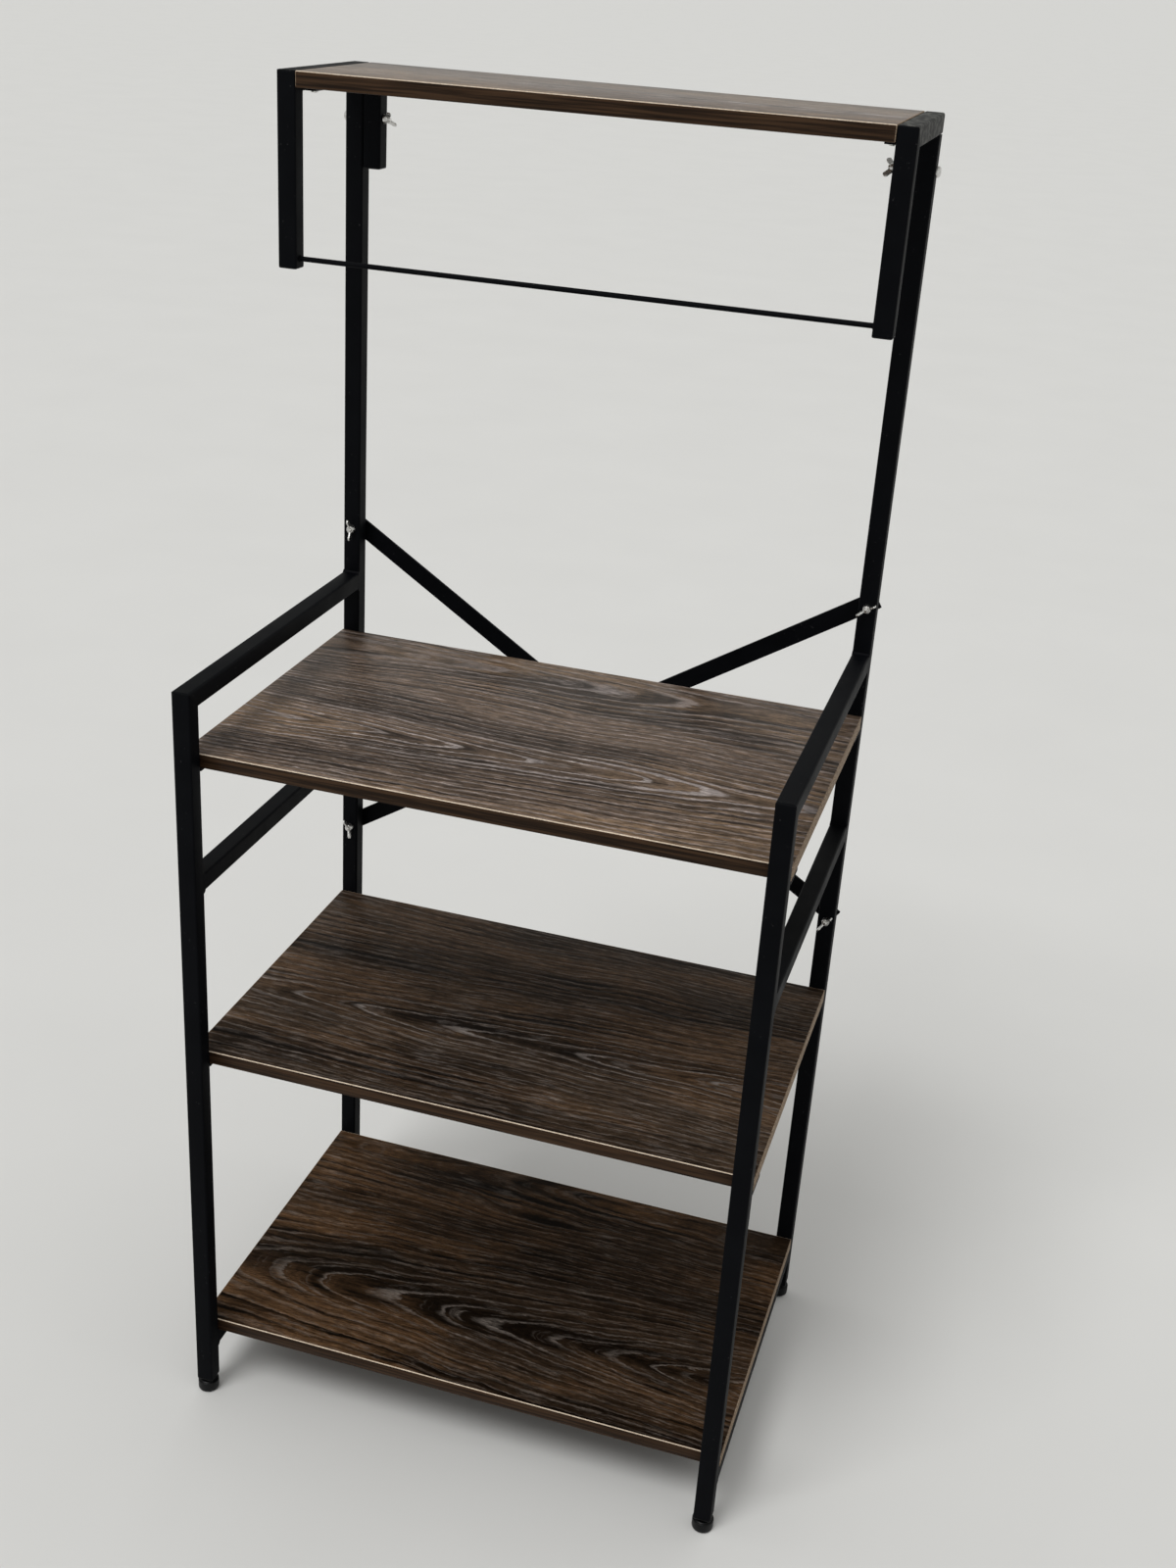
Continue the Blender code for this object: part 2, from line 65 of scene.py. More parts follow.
def add_node(tree, kind, inputs=None, **settings):
    """Adds a shader node. Each input is a plain value or the output of another node."""
    node = tree.nodes.new("ShaderNode" + kind)
    for setting, value in settings.items():
        setattr(node, setting, value)
    for socket, value in (inputs or {}).items():
        if isinstance(value, bpy.types.NodeSocket):
            tree.links.new(value, node.inputs[socket])
        else:
            node.inputs[socket].default_value = value
    return node


def maths(tree, operation, first, second=0.0, third=0.0):
    return add_node(tree, "Math", {0: first, 1: second, 2: third}, operation=operation).outputs[0]


def times(tree, product, *factors):
    for factor in factors:
        product = maths(tree, "MULTIPLY", product, factor)
    return product


def noise(tree, vector, scale, detail=3.0, roughness=0.55):
    inputs = {"Vector": vector, "Scale": scale, "Detail": detail, "Roughness": roughness}
    return add_node(tree, "TexNoise", inputs).outputs["Fac"]


def stretched(tree, vector, scale):
    return add_node(tree, "Mapping", {"Vector": vector, "Scale": scale}).outputs[0]


def drawn_noise(tree, vector, scale, detail, roughness):
    """Noise drawn out by a different scale on each axis."""
    return noise(tree, stretched(tree, vector, scale), 1.0, detail, roughness)


def remapped(tree, value, low, high, new_low=0.0, new_high=1.0, smooth=False):
    inputs = {0: value, 1: low, 2: high, 3: new_low, 4: new_high}
    kind = "SMOOTHSTEP" if smooth else "LINEAR"
    return add_node(tree, "MapRange", inputs, interpolation_type=kind).outputs[0]


def mixed(tree, share, first, second, blend="MIX"):
    inputs = {0: share, 6: first, 7: second}
    return add_node(tree, "Mix", inputs, data_type="RGBA", blend_type=blend).outputs[2]


def new_group(name, inputs, outputs):
    """Starts a node group. An input is given by its default number, or else by its kind."""
    tree = bpy.data.node_groups.new(name, "ShaderNodeTree")
    for socket, default in inputs.items():
        kind = default if isinstance(default, str) else "Float"
        made = tree.interface.new_socket(socket, in_out="INPUT", socket_type="NodeSocket" + kind)
        if kind == "Float":
            made.default_value = default
    for socket, kind in outputs.items():
        tree.interface.new_socket(socket, in_out="OUTPUT", socket_type="NodeSocket" + kind)
    return tree, tree.nodes.new("NodeGroupInput").outputs


def close_group(tree, results):
    end = tree.nodes.new("NodeGroupOutput")
    for socket, value in results.items():
        tree.links.new(value, end.inputs[socket])


def in_group(tree, group, **inputs):
    """Places a group in a tree. Its sockets are named with underscores for spaces."""
    named = {socket.replace("_", " "): value for socket, value in inputs.items()}
    return add_node(tree, "Group", named, node_tree=group).outputs


def new_material(name, specular=0.5, metallic=0.0):
    """A material with its tree, its shader and the object coordinates of the piece."""
    made = bpy.data.materials.new(name)
    made.use_nodes = True
    tree = made.node_tree
    shader = tree.nodes["Principled BSDF"]
    shader.inputs["Specular IOR Level"].default_value = specular
    shader.inputs["Metallic"].default_value = metallic
    place = add_node(tree, "TexCoord").outputs["Object"]
    return made, tree, shader, place


def set_skin(tree, shader, colour, roughness, height, depth):
    """Feeds the shader's colour and roughness, and its normal from a height of this depth in metres."""
    tree.links.new(colour, shader.inputs["Base Color"])
    tree.links.new(roughness, shader.inputs["Roughness"])
    bump = add_node(tree, "Bump", {"Height": height, "Distance": depth})
    tree.links.new(bump.outputs[0], shader.inputs["Normal"])


PEBBLE_DEPTH = 0.00006
sprayed_skin, given = new_group(
    "sprayed_skin",
    {"Vector": "Vector", "Pebbles": 900.0, "Specks": 300.0},
    {"Shade": "Float", "Rubbed": "Float", "Height": "Float"},
)
tree = sprayed_skin
pebble = noise(tree, given["Vector"], given["Pebbles"], 2.0, 0.5)
cloud = noise(tree, given["Vector"], 22.0, 3.0)
speck = noise(tree, given["Vector"], given["Specks"], 2.0)
rare = noise(tree, given["Vector"], 35.0, 2.0)
rubbed = times(tree, remapped(tree, speck, 0.68, 0.76), remapped(tree, rare, 0.5, 0.62))
close_group(tree, {"Shade": cloud, "Rubbed": rubbed, "Height": pebble})


def powder_coat(name, gloss, dark, light, rubbed_steel, dust=None):
    """Black powder with rubbed specks, and with patches of dust where its colour is given."""
    made, tree, shader, place = new_material(name, specular=gloss)
    skin = in_group(tree, sprayed_skin, Vector=place)
    colour = mixed(tree, remapped(tree, skin["Shade"], 0.35, 0.65), dark, light)
    if dust:
        settled = drawn_noise(tree, place, (150, 90, 150), 4.0, 0.7)
        colour = mixed(tree, remapped(tree, settled, 0.46, 0.60), colour, dust)
    colour = mixed(tree, skin["Rubbed"], colour, rubbed_steel)
    roughness = remapped(tree, skin["Shade"], 0.3, 0.7, 0.52, 0.64)
    set_skin(tree, shader, colour, roughness, skin["Height"], PEBBLE_DEPTH)
    return made


finishes = {"black_powder_coat": powder_coat(
    "black_powder_coat", 0.05,
    (0.0014, 0.0017, 0.0026, 1), (0.0027, 0.0031, 0.0042, 1), (0.034, 0.034, 0.036, 1),
)}
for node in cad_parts.values():
    if node.data.materials[0].name.startswith("black_powder_coat"):
        node.data.materials[0] = finishes["black_powder_coat"]


# Welds of the frames
# Every rail is butted to its leg and post and welded all round. The beads on the flat sides are ground
# flush and a small fillet stays above and below the rail. The mitred corners are welded and ground.

TUBE = 0.019
TUBE_CORNER = 0.0022
WELD_LEG = 0.0018
WELD_STEPS = ((0.35, 0.42), (0.65, 0.02))
WELD_ROUNDING = 0.0003
PROUD = 0.00005
SIDES = {"left": -1, "right": 1}


def deselect():
    if bpy.context.object and bpy.context.object.mode != "OBJECT":
        bpy.ops.object.mode_set(mode="OBJECT")
    bpy.ops.object.select_all(action="DESELECT")


def hold(obj):
    """Selects a piece alone and makes it active."""
    deselect()
    obj.select_set(True)
    bpy.context.view_layer.objects.active = obj


def settle(obj, name):
    """Names the active primitive and moves its place, turn and scale into its mesh."""
    obj.name = name
    obj.data.name = name
    bpy.ops.object.transform_apply(location=True, rotation=True, scale=True)
    return obj


def block(name, low, high):
    """A box between two corners."""
    deselect()
    low, high = Vector(low), Vector(high)
    bpy.ops.mesh.primitive_cube_add(size=1, location=(low + high) / 2, scale=high - low)
    return settle(bpy.context.object, name)


def pick(obj, kind, test):
    """Selects the faces or edges whose middle and direction pass the test, in edit mode."""
    hold(obj)
    bpy.context.tool_settings.mesh_select_mode = (False, kind == "EDGE", kind == "FACE")
    mesh = obj.data
    for parts in (mesh.vertices, mesh.edges, mesh.polygons):
        parts.foreach_set("select", [False] * len(parts))
    if kind == "FACE":
        for face in mesh.polygons:
            face.select = bool(test(face.center, face.normal))
    else:
        for edge in mesh.edges:
            first, last = (mesh.vertices[corner].co for corner in edge.vertices)
            edge.select = bool(test((first + last) / 2, (last - first).normalized()))
    bpy.ops.object.mode_set(mode="EDIT")


def push(offset, factor=(1, 1, 1), middle=(0, 0, 0)):
    """Extrudes the picked faces by an offset and scales them about a point."""
    bpy.ops.mesh.extrude_region_move(TRANSFORM_OT_translate={"value": tuple(offset)})
    bpy.ops.transform.resize(value=factor, center_override=tuple(middle))


def round_off(width, steps, **settings):
    bpy.ops.mesh.bevel(offset=width, segments=steps, affect="EDGES", clamp_overlap=True, **settings)


def dress(obj, body, slot, angle=35, finish=None):
    """Closes the work on a piece: its shading, its finish and the body that it moves with."""
    hold(obj)
    bpy.ops.object.shade_smooth_by_angle(angle=math.radians(angle))
    if not obj.data.materials:
        obj.data.materials.append(finish or finishes[slot])
    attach(obj, body)
    return obj


def planes_of(side):
    """A side frame's middle x, and y of the inner faces of its leg and its post."""
    leg_low, leg_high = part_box(f"{side}_front_leg")
    return (leg_low.x + leg_high.x) / 2, leg_high.y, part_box(f"{side}_rear_post")[0].y


def rail_weld(name, side_x, wall_y, rail_z, away):
    """Weld round a rail's end. Away is 1 where the rail leaves the wall toward the back.

    Each step reaches out along the rail and keeps a share of the weld's height.
    """
    half = TUBE / 2 + PROUD
    tall = TUBE / 2 + WELD_LEG
    near = wall_y - away * TUBE_CORNER
    low = (side_x - half, min(near, wall_y), rail_z - tall)
    high = (side_x + half, max(near, wall_y), rail_z + tall)
    weld = block(name, low, high)
    middle = (side_x, wall_y, rail_z)
    for reach, height in WELD_STEPS:
        pick(weld, "FACE", lambda spot, facing: facing.y * away > 0.9)
        share = (TUBE / 2 + WELD_LEG * height) / tall
        push((0, away * WELD_LEG * reach, 0), (1, 1, share), middle)
        tall *= share
    pick(weld, "EDGE", lambda spot, along: abs(along.x) > 0.9)
    round_off(WELD_ROUNDING, 2)
    return dress(weld, "stand", "black_powder_coat")


for side in SIDES:
    side_x, leg_y, post_y = planes_of(side)
    for rail in ("arm_rail", "side_rail", "bottom_rail"):
        rail_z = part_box(f"{side}_{rail}")[1].z - TUBE / 2
        rail_weld(f"{side}_{rail}_rear_weld", side_x, post_y, rail_z, -1)
        if rail != "arm_rail":
            rail_weld(f"{side}_{rail}_front_weld", side_x, leg_y, rail_z, 1)


# Mitred corners
# The front leg and the arm rail, and the drop leg and the top rail, are sawn at 45 degrees and welded.
# The corner is then ground, so its seam lies level and its outer edge is round. The right top rail
# carries some dust over a lighter grey coat, which is painted sheen.

TUBE_WALL = 0.0012
CORNER_GROUND = 0.0025
GRINDING_CUTS = 12
SEAM = 0.00016
FINE_CUT = 0.0000001


def cut_away(obj, cutter):
    """Cuts a solid out of a piece and removes the cutter."""
    cut = obj.modifiers.new(cutter.name, "BOOLEAN")
    cut.operation = "DIFFERENCE"
    cut.object = cutter
    hold(obj)
    bpy.ops.object.modifier_apply(modifier=cut.name)
    bpy.data.objects.remove(cutter)


def slice_off(obj, point, toward):
    """Cuts off what lies beyond a point in a direction and closes the cut."""
    pick(obj, "FACE", lambda spot, facing: True)
    bpy.ops.mesh.bisect(
        plane_co=tuple(point), plane_no=tuple(toward), use_fill=True, clear_outer=True, threshold=FINE_CUT
    )


def square_bar(name, low, high, axis, corner_radius, steps):
    """A bar between two corners with round arrises along an axis."""
    bar = block(name, low, high)
    pick(bar, "EDGE", lambda spot, along: abs(along[axis]) > 0.9)
    round_off(corner_radius, steps)
    return bar


def square_tube(name, low, high, axis):
    """A tube between two corners along an axis, with an open bore."""
    tube = square_bar(name, low, high, axis, TUBE_CORNER, 5)
    wall = Vector((TUBE_WALL, TUBE_WALL, TUBE_WALL))
    wall[axis] = -TUBE_WALL
    cut_away(tube, square_bar("bore", low + wall, high - wall, axis, TUBE_CORNER - TUBE_WALL, 4))
    return tube


def grind_corner(obj, corner):
    """Rounds a piece's front top corner with narrow flat cuts."""
    middle = corner + Vector((0, CORNER_GROUND, -CORNER_GROUND))
    for cut in range(1, GRINDING_CUTS):
        angle = math.radians(90 * cut / GRINDING_CUTS)
        outward = Vector((0, -math.cos(angle), math.sin(angle)))
        slice_off(obj, middle + outward * CORNER_GROUND, outward)


def mitre_seam(name, corner):
    """Filling of the saw cut through a corner, which follows the outlines of both tubes."""
    half = TUBE / 2 + PROUD
    low = corner - Vector((half, 0, 2 * TUBE))
    high = corner + Vector((half, TUBE + PROUD, TUBE))
    seam = square_bar(name, low, high, 2, TUBE_CORNER, 5)
    slice_off(seam, corner, (0, 1, 1))
    pick(seam, "FACE", lambda spot, facing: facing.y > 0.5 and facing.z > 0.5)
    push((0, TUBE, 0))
    slice_off(seam, corner + Vector((0, SEAM, SEAM)), (0, 1, 1))
    slice_off(seam, corner - Vector((0, SEAM, SEAM)), (0, -1, -1))
    return seam


# Its base colours are a lighter grey than the black coat, as a painted sheen; dust patches lie on top.
sheen_and_dust_coat = powder_coat(
    "sheen_and_dust_powder_coat", 0.06,
    (0.014, 0.0142, 0.0146, 1), (0.024, 0.0242, 0.0242, 1), (0.050, 0.050, 0.050, 1),
    dust=(0.092, 0.092, 0.085, 1),
)
for side in SIDES:
    for upright, rail in (("front_leg", "arm_rail"), ("drop_leg", "top_rail")):
        low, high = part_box(f"{side}_{upright}")
        rail_low, rail_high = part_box(f"{side}_{rail}")
        corner = Vector(((low.x + high.x) / 2, low.y, rail_high.z))
        post = square_tube(f"{side}_{upright}_tube", low, high, 2)
        slice_off(post, (corner.x, low.y, high.z), (0, 1, 1))
        bar = square_tube(f"{side}_{rail}_tube", rail_low, rail_high, 1)
        slice_off(bar, (corner.x, rail_low.y, rail_high.z), (0, -1, -1))
        seam = mitre_seam(f"{side}_{rail}_mitre_weld", corner)
        for piece in (post, bar, seam):
            grind_corner(piece, corner)
            # Only the right top rail takes the painted sheen and the dust.
            sheen_and_dust_rail = piece is bar and side == "right" and rail == "top_rail"
            dress(piece, "stand", "black_powder_coat", finish=sheen_and_dust_coat if sheen_and_dust_rail else None)
        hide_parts(f"{side}_{upright}")
        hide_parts(f"{side}_{rail}")


# Welds of the tabs, ledges, hangers and towel rod
# The flat tabs under the boards and the ledges of the top unit are tacked on with short beads. The
# towel rod has a small ring of weld at each end, where it meets the drop leg.

BEAD = 0.0013
BEAD_ENDS = 0.6
BEAD_RIPPLE = 0.16
TAB_WELD = 0.013
LEDGE_WELD = 0.016
LEDGE_WELD_PLACES = (0.38, 0.62, 0.88)
ROD_RING = 0.0026
ROD_RING_BEAD = 0.0009
ROD_RING_RIPPLE = 0.00012


def rod(name, start, end, radius, sides=48):
    """A round bar from one point to another."""
    deselect()
    start, end = Vector(start), Vector(end)
    turn = (end - start).to_track_quat("Z", "Y").to_euler()
    bpy.ops.mesh.primitive_cylinder_add(
        vertices=sides, radius=radius, depth=(end - start).length,
        location=(start + end) / 2, rotation=turn,
    )
    return settle(bpy.context.object, name)


def bead(name, start, end, radius, seed):
    """A short weld bead, a round bar with rounded ends and an uneven surface."""
    made = rod(name, start, end, radius, 16)
    along = (Vector(end) - Vector(start)).normalized()
    pick(made, "EDGE", lambda spot, edge: abs(edge.dot(along)) < 0.1)
    round_off(radius * BEAD_ENDS, 3)
    pick(made, "EDGE", lambda spot, edge: abs(edge.dot(along)) > 0.9)
    bpy.ops.mesh.subdivide(number_cuts=7)
    bpy.ops.mesh.select_all(action="SELECT")
    bpy.ops.transform.vertex_random(offset=radius * BEAD_RIPPLE, uniform=1.0, normal=0.0, seed=seed)
    return dress(made, "stand", "black_powder_coat", 60)


for side, sign in SIDES.items():
    side_x, leg_y, post_y = planes_of(side)
    for seed, tab in enumerate(("microwave_shelf", "middle_shelf")):
        for end, wall_y in (("front", leg_y), ("rear", post_y)):
            weld_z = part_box(f"{side}_{end}_{tab}_tab")[0].z - BEAD * 0.3
            start = Vector((side_x - TAB_WELD / 2, wall_y, weld_z))
            stop = start + Vector((TAB_WELD, 0, 0))
            bead(f"{side}_{end}_{tab}_tab_weld", start, stop, BEAD, 3 + seed)
    ledge_low, ledge_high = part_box(f"{side}_board_ledge")
    inner_x = side_x - sign * TUBE / 2
    for number, share in enumerate(LEDGE_WELD_PLACES):
        middle_y = ledge_low.y + (ledge_high.y - ledge_low.y) * share
        start = Vector((inner_x, middle_y - LEDGE_WELD / 2, ledge_low.z))
        stop = start + Vector((0, LEDGE_WELD, 0))
        bead(f"{side}_ledge_weld_{number + 1}", start, stop, BEAD, 11 + number)
    hanger_low, hanger_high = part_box(f"{side}_rear_hanger")
    start = (inner_x, hanger_low.y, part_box(f"{side}_top_rail")[0].z)
    stop = (inner_x, hanger_low.y, hanger_high.z - BEAD)
    bead(f"{side}_hanger_weld", start, stop, BEAD * 0.8, 21)
    rod_low, rod_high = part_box("towel_rod")
    centre = (rod_low + rod_high) / 2
    centre.x = rod_low.x if sign < 0 else rod_high.x
    deselect()
    bpy.ops.mesh.primitive_torus_add(
        location=centre, rotation=(0, math.radians(90), 0), major_segments=32, minor_segments=12,
        major_radius=ROD_RING, minor_radius=ROD_RING_BEAD,
    )
    ring = settle(bpy.context.object, f"{side}_towel_rod_weld")
    pick(ring, "FACE", lambda spot, facing: True)
    bpy.ops.transform.vertex_random(offset=ROD_RING_RIPPLE, uniform=1.0, normal=0.0, seed=31)
    dress(ring, "stand", "black_powder_coat", 60)


# Boards
# Four 15 mm particle boards. The top and bottom faces carry a printed dark walnut foil with long
# cathedral arches, the front and back edges a matching tape, and the ends show the pale chips. The
# trimmed foil leaves a thin light line along the upper long edges.

def minus(tree, first, second):
    return maths(tree, "SUBTRACT", first, second)


def axes_of(tree, vector):
    return add_node(tree, "SeparateXYZ", {0: vector}).outputs


def from_axes(tree, *axes):
    return add_node(tree, "CombineXYZ", dict(enumerate(axes))).outputs[0]


def rolled_noise(tree, vector, scale, luck):
    """A smooth drawn out noise about zero that differs with the luck."""
    place = stretched(tree, vector, scale)
    inputs = {"Vector": place, "W": luck, "Scale": 1.0, "Detail": 2.0, "Roughness": 0.55}
    wave = add_node(tree, "TexNoise", inputs, noise_dimensions="4D").outputs["Fac"]
    return minus(tree, wave, 0.5)


def blunted(tree, distance, radius):
    """A distance from a line whose sharp turn at zero is rounded by a radius."""
    squared = times(tree, radius, radius)
    return maths(tree, "SQRT", maths(tree, "MULTIPLY_ADD", distance, distance, squared))


bent_grain, given = new_group(
    "bent_grain",
    {"Vector": "Vector", "Luck": 0.0, "Sway": 0.02, "Ripple": 0.006, "Fray": 0.003},
    {"Vector": "Vector"},
)
tree = bent_grain
axes = axes_of(tree, given["Vector"])
bent = axes[1]
warps = {"Sway": (4.0, 6.0, 1.0), "Ripple": (24.0, 60.0, 1.0), "Fray": (170.0, 420.0, 1.0)}
for warp, scale in warps.items():
    wave = rolled_noise(tree, given["Vector"], scale, given["Luck"])
    bent = maths(tree, "MULTIPLY_ADD", wave, given[warp], bent)
close_group(tree, {"Vector": from_axes(tree, axes[0], bent, axes[2])})

growth_swell, given = new_group(
    "growth_swell",
    {
        "Vector": "Vector", "Middle X": 0.0, "Middle Y": 0.0,
        "Half Length": 0.1, "Half Width": 0.03, "Height": 0.03,
    },
    {"Swell": "Float"},
)
tree = growth_swell
axes = axes_of(tree, given["Vector"])
along = maths(tree, "DIVIDE", minus(tree, axes[0], given["Middle X"]), given["Half Length"])
across = maths(tree, "DIVIDE", minus(tree, axes[1], given["Middle Y"]), given["Half Width"])
spread = maths(tree, "MULTIPLY_ADD", along, along, times(tree, across, across))
fall = maths(tree, "EXPONENT", times(tree, spread, -1.0))
close_group(tree, {"Swell": times(tree, fall, given["Height"])})

growth_rings, given = new_group(
    "growth_rings",
    {
        "Vector": "Vector", "Valley": -0.07, "Crest": 0.14, "Valley Blunt": 0.008, "Crest Blunt": 0.02,
        "Valley Taper": 0.1, "Crest Taper": -0.05, "Start": 0.0, "Jag": 0.0025, "Luck": 0.0,
    },
    {"Rings": "Float", "Climb": "Float"},
)
tree = growth_rings
axes = axes_of(tree, given["Vector"])
reach = minus(tree, given["Crest"], given["Valley"])
climb = maths(tree, "PINGPONG", minus(tree, axes[1], given["Valley"]), reach)
rest = minus(tree, reach, climb)
foot_curve = blunted(tree, climb, given["Valley Blunt"])
top_curve = blunted(tree, rest, given["Crest Blunt"])
slope = maths(tree, "ADD", minus(tree, foot_curve, top_curve), rest)
height_share = maths(tree, "DIVIDE", climb, reach)
lean = remapped(tree, height_share, 0.0, 0.8, given["Valley Taper"], given["Crest Taper"])
uneven = rolled_noise(tree, given["Vector"], (6.0, 2.0, 1.0), given["Luck"])
along = maths(tree, "MULTIPLY_ADD", uneven, 0.16, axes[0])
rings = maths(tree, "MULTIPLY_ADD", along, lean, slope)
rings = maths(tree, "ADD", rings, given["Start"])
crowded = rolled_noise(tree, from_axes(tree, rings), (75.0, 1.0, 1.0), given["Luck"])
rings = maths(tree, "MULTIPLY_ADD", crowded, 0.016, rings)
jagged = rolled_noise(tree, given["Vector"], (30.0, 110.0, 1.0), given["Luck"])
rings = maths(tree, "MULTIPLY_ADD", jagged, given["Jag"], rings)
close_group(tree, {"Rings": rings, "Climb": climb})

printed_walnut, given = new_group(
    "printed_walnut",
    {
        "Vector": "Vector", "Rings": 0.0, "Ring Width": 0.0088,
        "Dark": "Color", "Middle": "Color", "Tan": "Color", "Vein": "Color",
        "Vein Strength": 1.0, "Vein Width": 0.26, "Depth": 1.0, "Warmth": 0.0, "Gloom": 0.0, "Luck": 0.0,
    },
    {"Colour": "Color", "Gloss": "Float", "Height": "Float"},
)
tree = printed_walnut
turns = maths(tree, "DIVIDE", given["Rings"], given["Ring Width"])
share = maths(tree, "FRACT", turns)
roll = maths(tree, "ADD", maths(tree, "FLOOR", turns), given["Luck"])
luck = add_node(tree, "TexWhiteNoise", {"W": roll}, noise_dimensions="1D").outputs["Value"]
shift = from_axes(tree, times(tree, given["Luck"], 0.37))
grain = add_node(tree, "VectorMath", {0: given["Vector"], 1: shift}, operation="ADD").outputs[0]
fibre = drawn_noise(tree, grain, (60, 760, 760), 4.0, 0.65)
fleck = drawn_noise(tree, grain, (90, 330, 330), 3.0, 0.6)
strand = drawn_noise(tree, grain, (9, 190, 190), 3.0, 0.6)
patch = drawn_noise(tree, grain, (3.5, 12, 12), 3.0, 0.5)
shadow = drawn_noise(tree, grain, (2.6, 17, 17), 2.0, 0.5)
calm = drawn_noise(tree, grain, (4.0, 21, 21), 3.0, 0.6)
break_up = drawn_noise(tree, grain, (16, 45, 45), 4.0, 0.65)
pore = drawn_noise(tree, grain, (120, 1500, 1500), 2.0, 0.5)
ringed = from_axes(tree, axes_of(tree, grain)[0], given["Rings"])
streak = drawn_noise(tree, ringed, (22, 310, 1), 3.0, 0.6)

# A grey vein opens each ring
ragged = maths(tree, "MULTIPLY_ADD", minus(tree, fleck, 0.5), 0.3, share)
rise = remapped(tree, ragged, 0.0, 0.09, smooth=True)
past_vein = minus(tree, ragged, given["Vein Width"])
drop = remapped(tree, past_vein, -0.12, 0.10, 1.0, 0.0, smooth=True)
vein = times(
    tree, rise, drop,
    remapped(tree, luck, 0.0, 1.0, 0.65, 1.0),
    remapped(tree, break_up, 0.34, 0.54, 0.35, 1.0),
    given["Vein Strength"],
)
vein = maths(tree, "MINIMUM", vein, 1.0)

# The dark late wood follows the vein, with strands and shadows that run over several rings
late = times(
    tree, remapped(tree, share, 0.12, 0.30, smooth=True),
    remapped(tree, share, 0.34, 0.92, 1.0, 0.0, smooth=True),
    remapped(tree, luck, 0.0, 1.0, 1.0, 0.25),
    remapped(tree, calm, 0.42, 0.58, 0.3, 1.0),
)
late = maths(tree, "MULTIPLY_ADD", remapped(tree, strand, 0.48, 0.66), 0.5, late)
late = maths(tree, "MULTIPLY_ADD", remapped(tree, shadow, 0.48, 0.68), 0.7, late)
late = maths(tree, "MULTIPLY_ADD", late, given["Depth"], given["Gloom"])

# Patches, streaks, fibres, flecks and pores colour and shade the whole
warm = remapped(tree, maths(tree, "ADD", patch, given["Warmth"]), 0.45, 0.60)
colour = mixed(tree, warm, given["Middle"], given["Tan"])
colour = mixed(tree, maths(tree, "MINIMUM", late, 1.0), colour, given["Dark"])
colour = mixed(tree, remapped(tree, streak, 0.54, 0.70, 0.0, 0.4), colour, given["Vein"])
colour = mixed(tree, vein, colour, given["Vein"])
light = times(
    tree, remapped(tree, fibre, 0.3, 0.7, 0.45, 1.55),
    remapped(tree, streak, 0.32, 0.50, 0.55, 1.0),
    remapped(tree, fleck, 0.3, 0.7, 0.7, 1.3),
    remapped(tree, pore, 0.6, 0.7, 1.0, 0.5),
)
tone = add_node(tree, "CombineColor", {0: light, 1: light, 2: light}).outputs[0]
colour = mixed(tree, 1.0, colour, tone, "MULTIPLY")
close_group(tree, {
    "Colour": colour, "Gloss": fibre, "Height": remapped(tree, pore, 0.6, 0.72, 1.0, 0.0),
})


def add_swells(tree, vector, value, swells):
    """Adds rounded hills to a value. Each is given as middle x, y, half length, half width, height."""
    for middle_x, middle_y, half_length, half_width, height in swells:
        swell = in_group(
            tree, growth_swell, Vector=vector, Middle_X=middle_x, Middle_Y=middle_y,
            Half_Length=half_length, Half_Width=half_width, Height=height,
        )["Swell"]
        value = maths(tree, "ADD", value, swell)
    return value


def walnut_face(name, look):
    """The printed face of one board, from its table of bends, arches, eyes and patches."""
    made, tree, shader, place = new_material(name, specular=look["sheen"])
    axes = axes_of(tree, place)
    moved = add_swells(tree, place, axes[1], look["bends"])
    moved = from_axes(tree, axes[0], moved, axes[2])
    grain = in_group(tree, bent_grain, Vector=moved, Luck=look["luck"])["Vector"]
    arches = in_group(tree, growth_rings, Vector=grain, Luck=look["luck"], **look["arches"])
    at_arch, between = 1.7 * look["boldness"], 0.65 * look["boldness"]
    boldness = remapped(tree, arches["Climb"], 0.0, 0.05, at_arch, between)
    dark, middle, tan, vein = look["colours"]
    print_out = in_group(
        tree, printed_walnut, Vector=grain, Luck=look["luck"],
        Rings=add_swells(tree, grain, arches["Rings"], look["eyes"]),
        Dark=dark, Middle=middle, Tan=tan, Vein=vein,
        Ring_Width=look["ring_width"], Vein_Width=look["vein_width"], Vein_Strength=boldness,
        Depth=look["depth"],
        Warmth=add_swells(tree, place, 0.0, look["warm_patches"]),
        Gloom=add_swells(tree, place, 0.0, look["gloomy_patches"]),
    )
    roughness = remapped(tree, print_out["Gloss"], 0.3, 0.7, 0.38, 0.50)
    set_skin(tree, shader, print_out["Colour"], roughness, print_out["Height"], 0.00004)
    return made


def edge_tape(name, dark, light):
    """The banding of the long edges, streaked along the board."""
    made, tree, shader, place = new_material(name, specular=0.08)
    streak = drawn_noise(tree, place, (9, 400, 400), 4.0, 0.6)
    colour = mixed(tree, remapped(tree, streak, 0.4, 0.6), dark, light)
    roughness = remapped(tree, streak, 0.3, 0.7, 0.32, 0.42)
    set_skin(tree, shader, colour, roughness, streak, 0.00003)
    return made


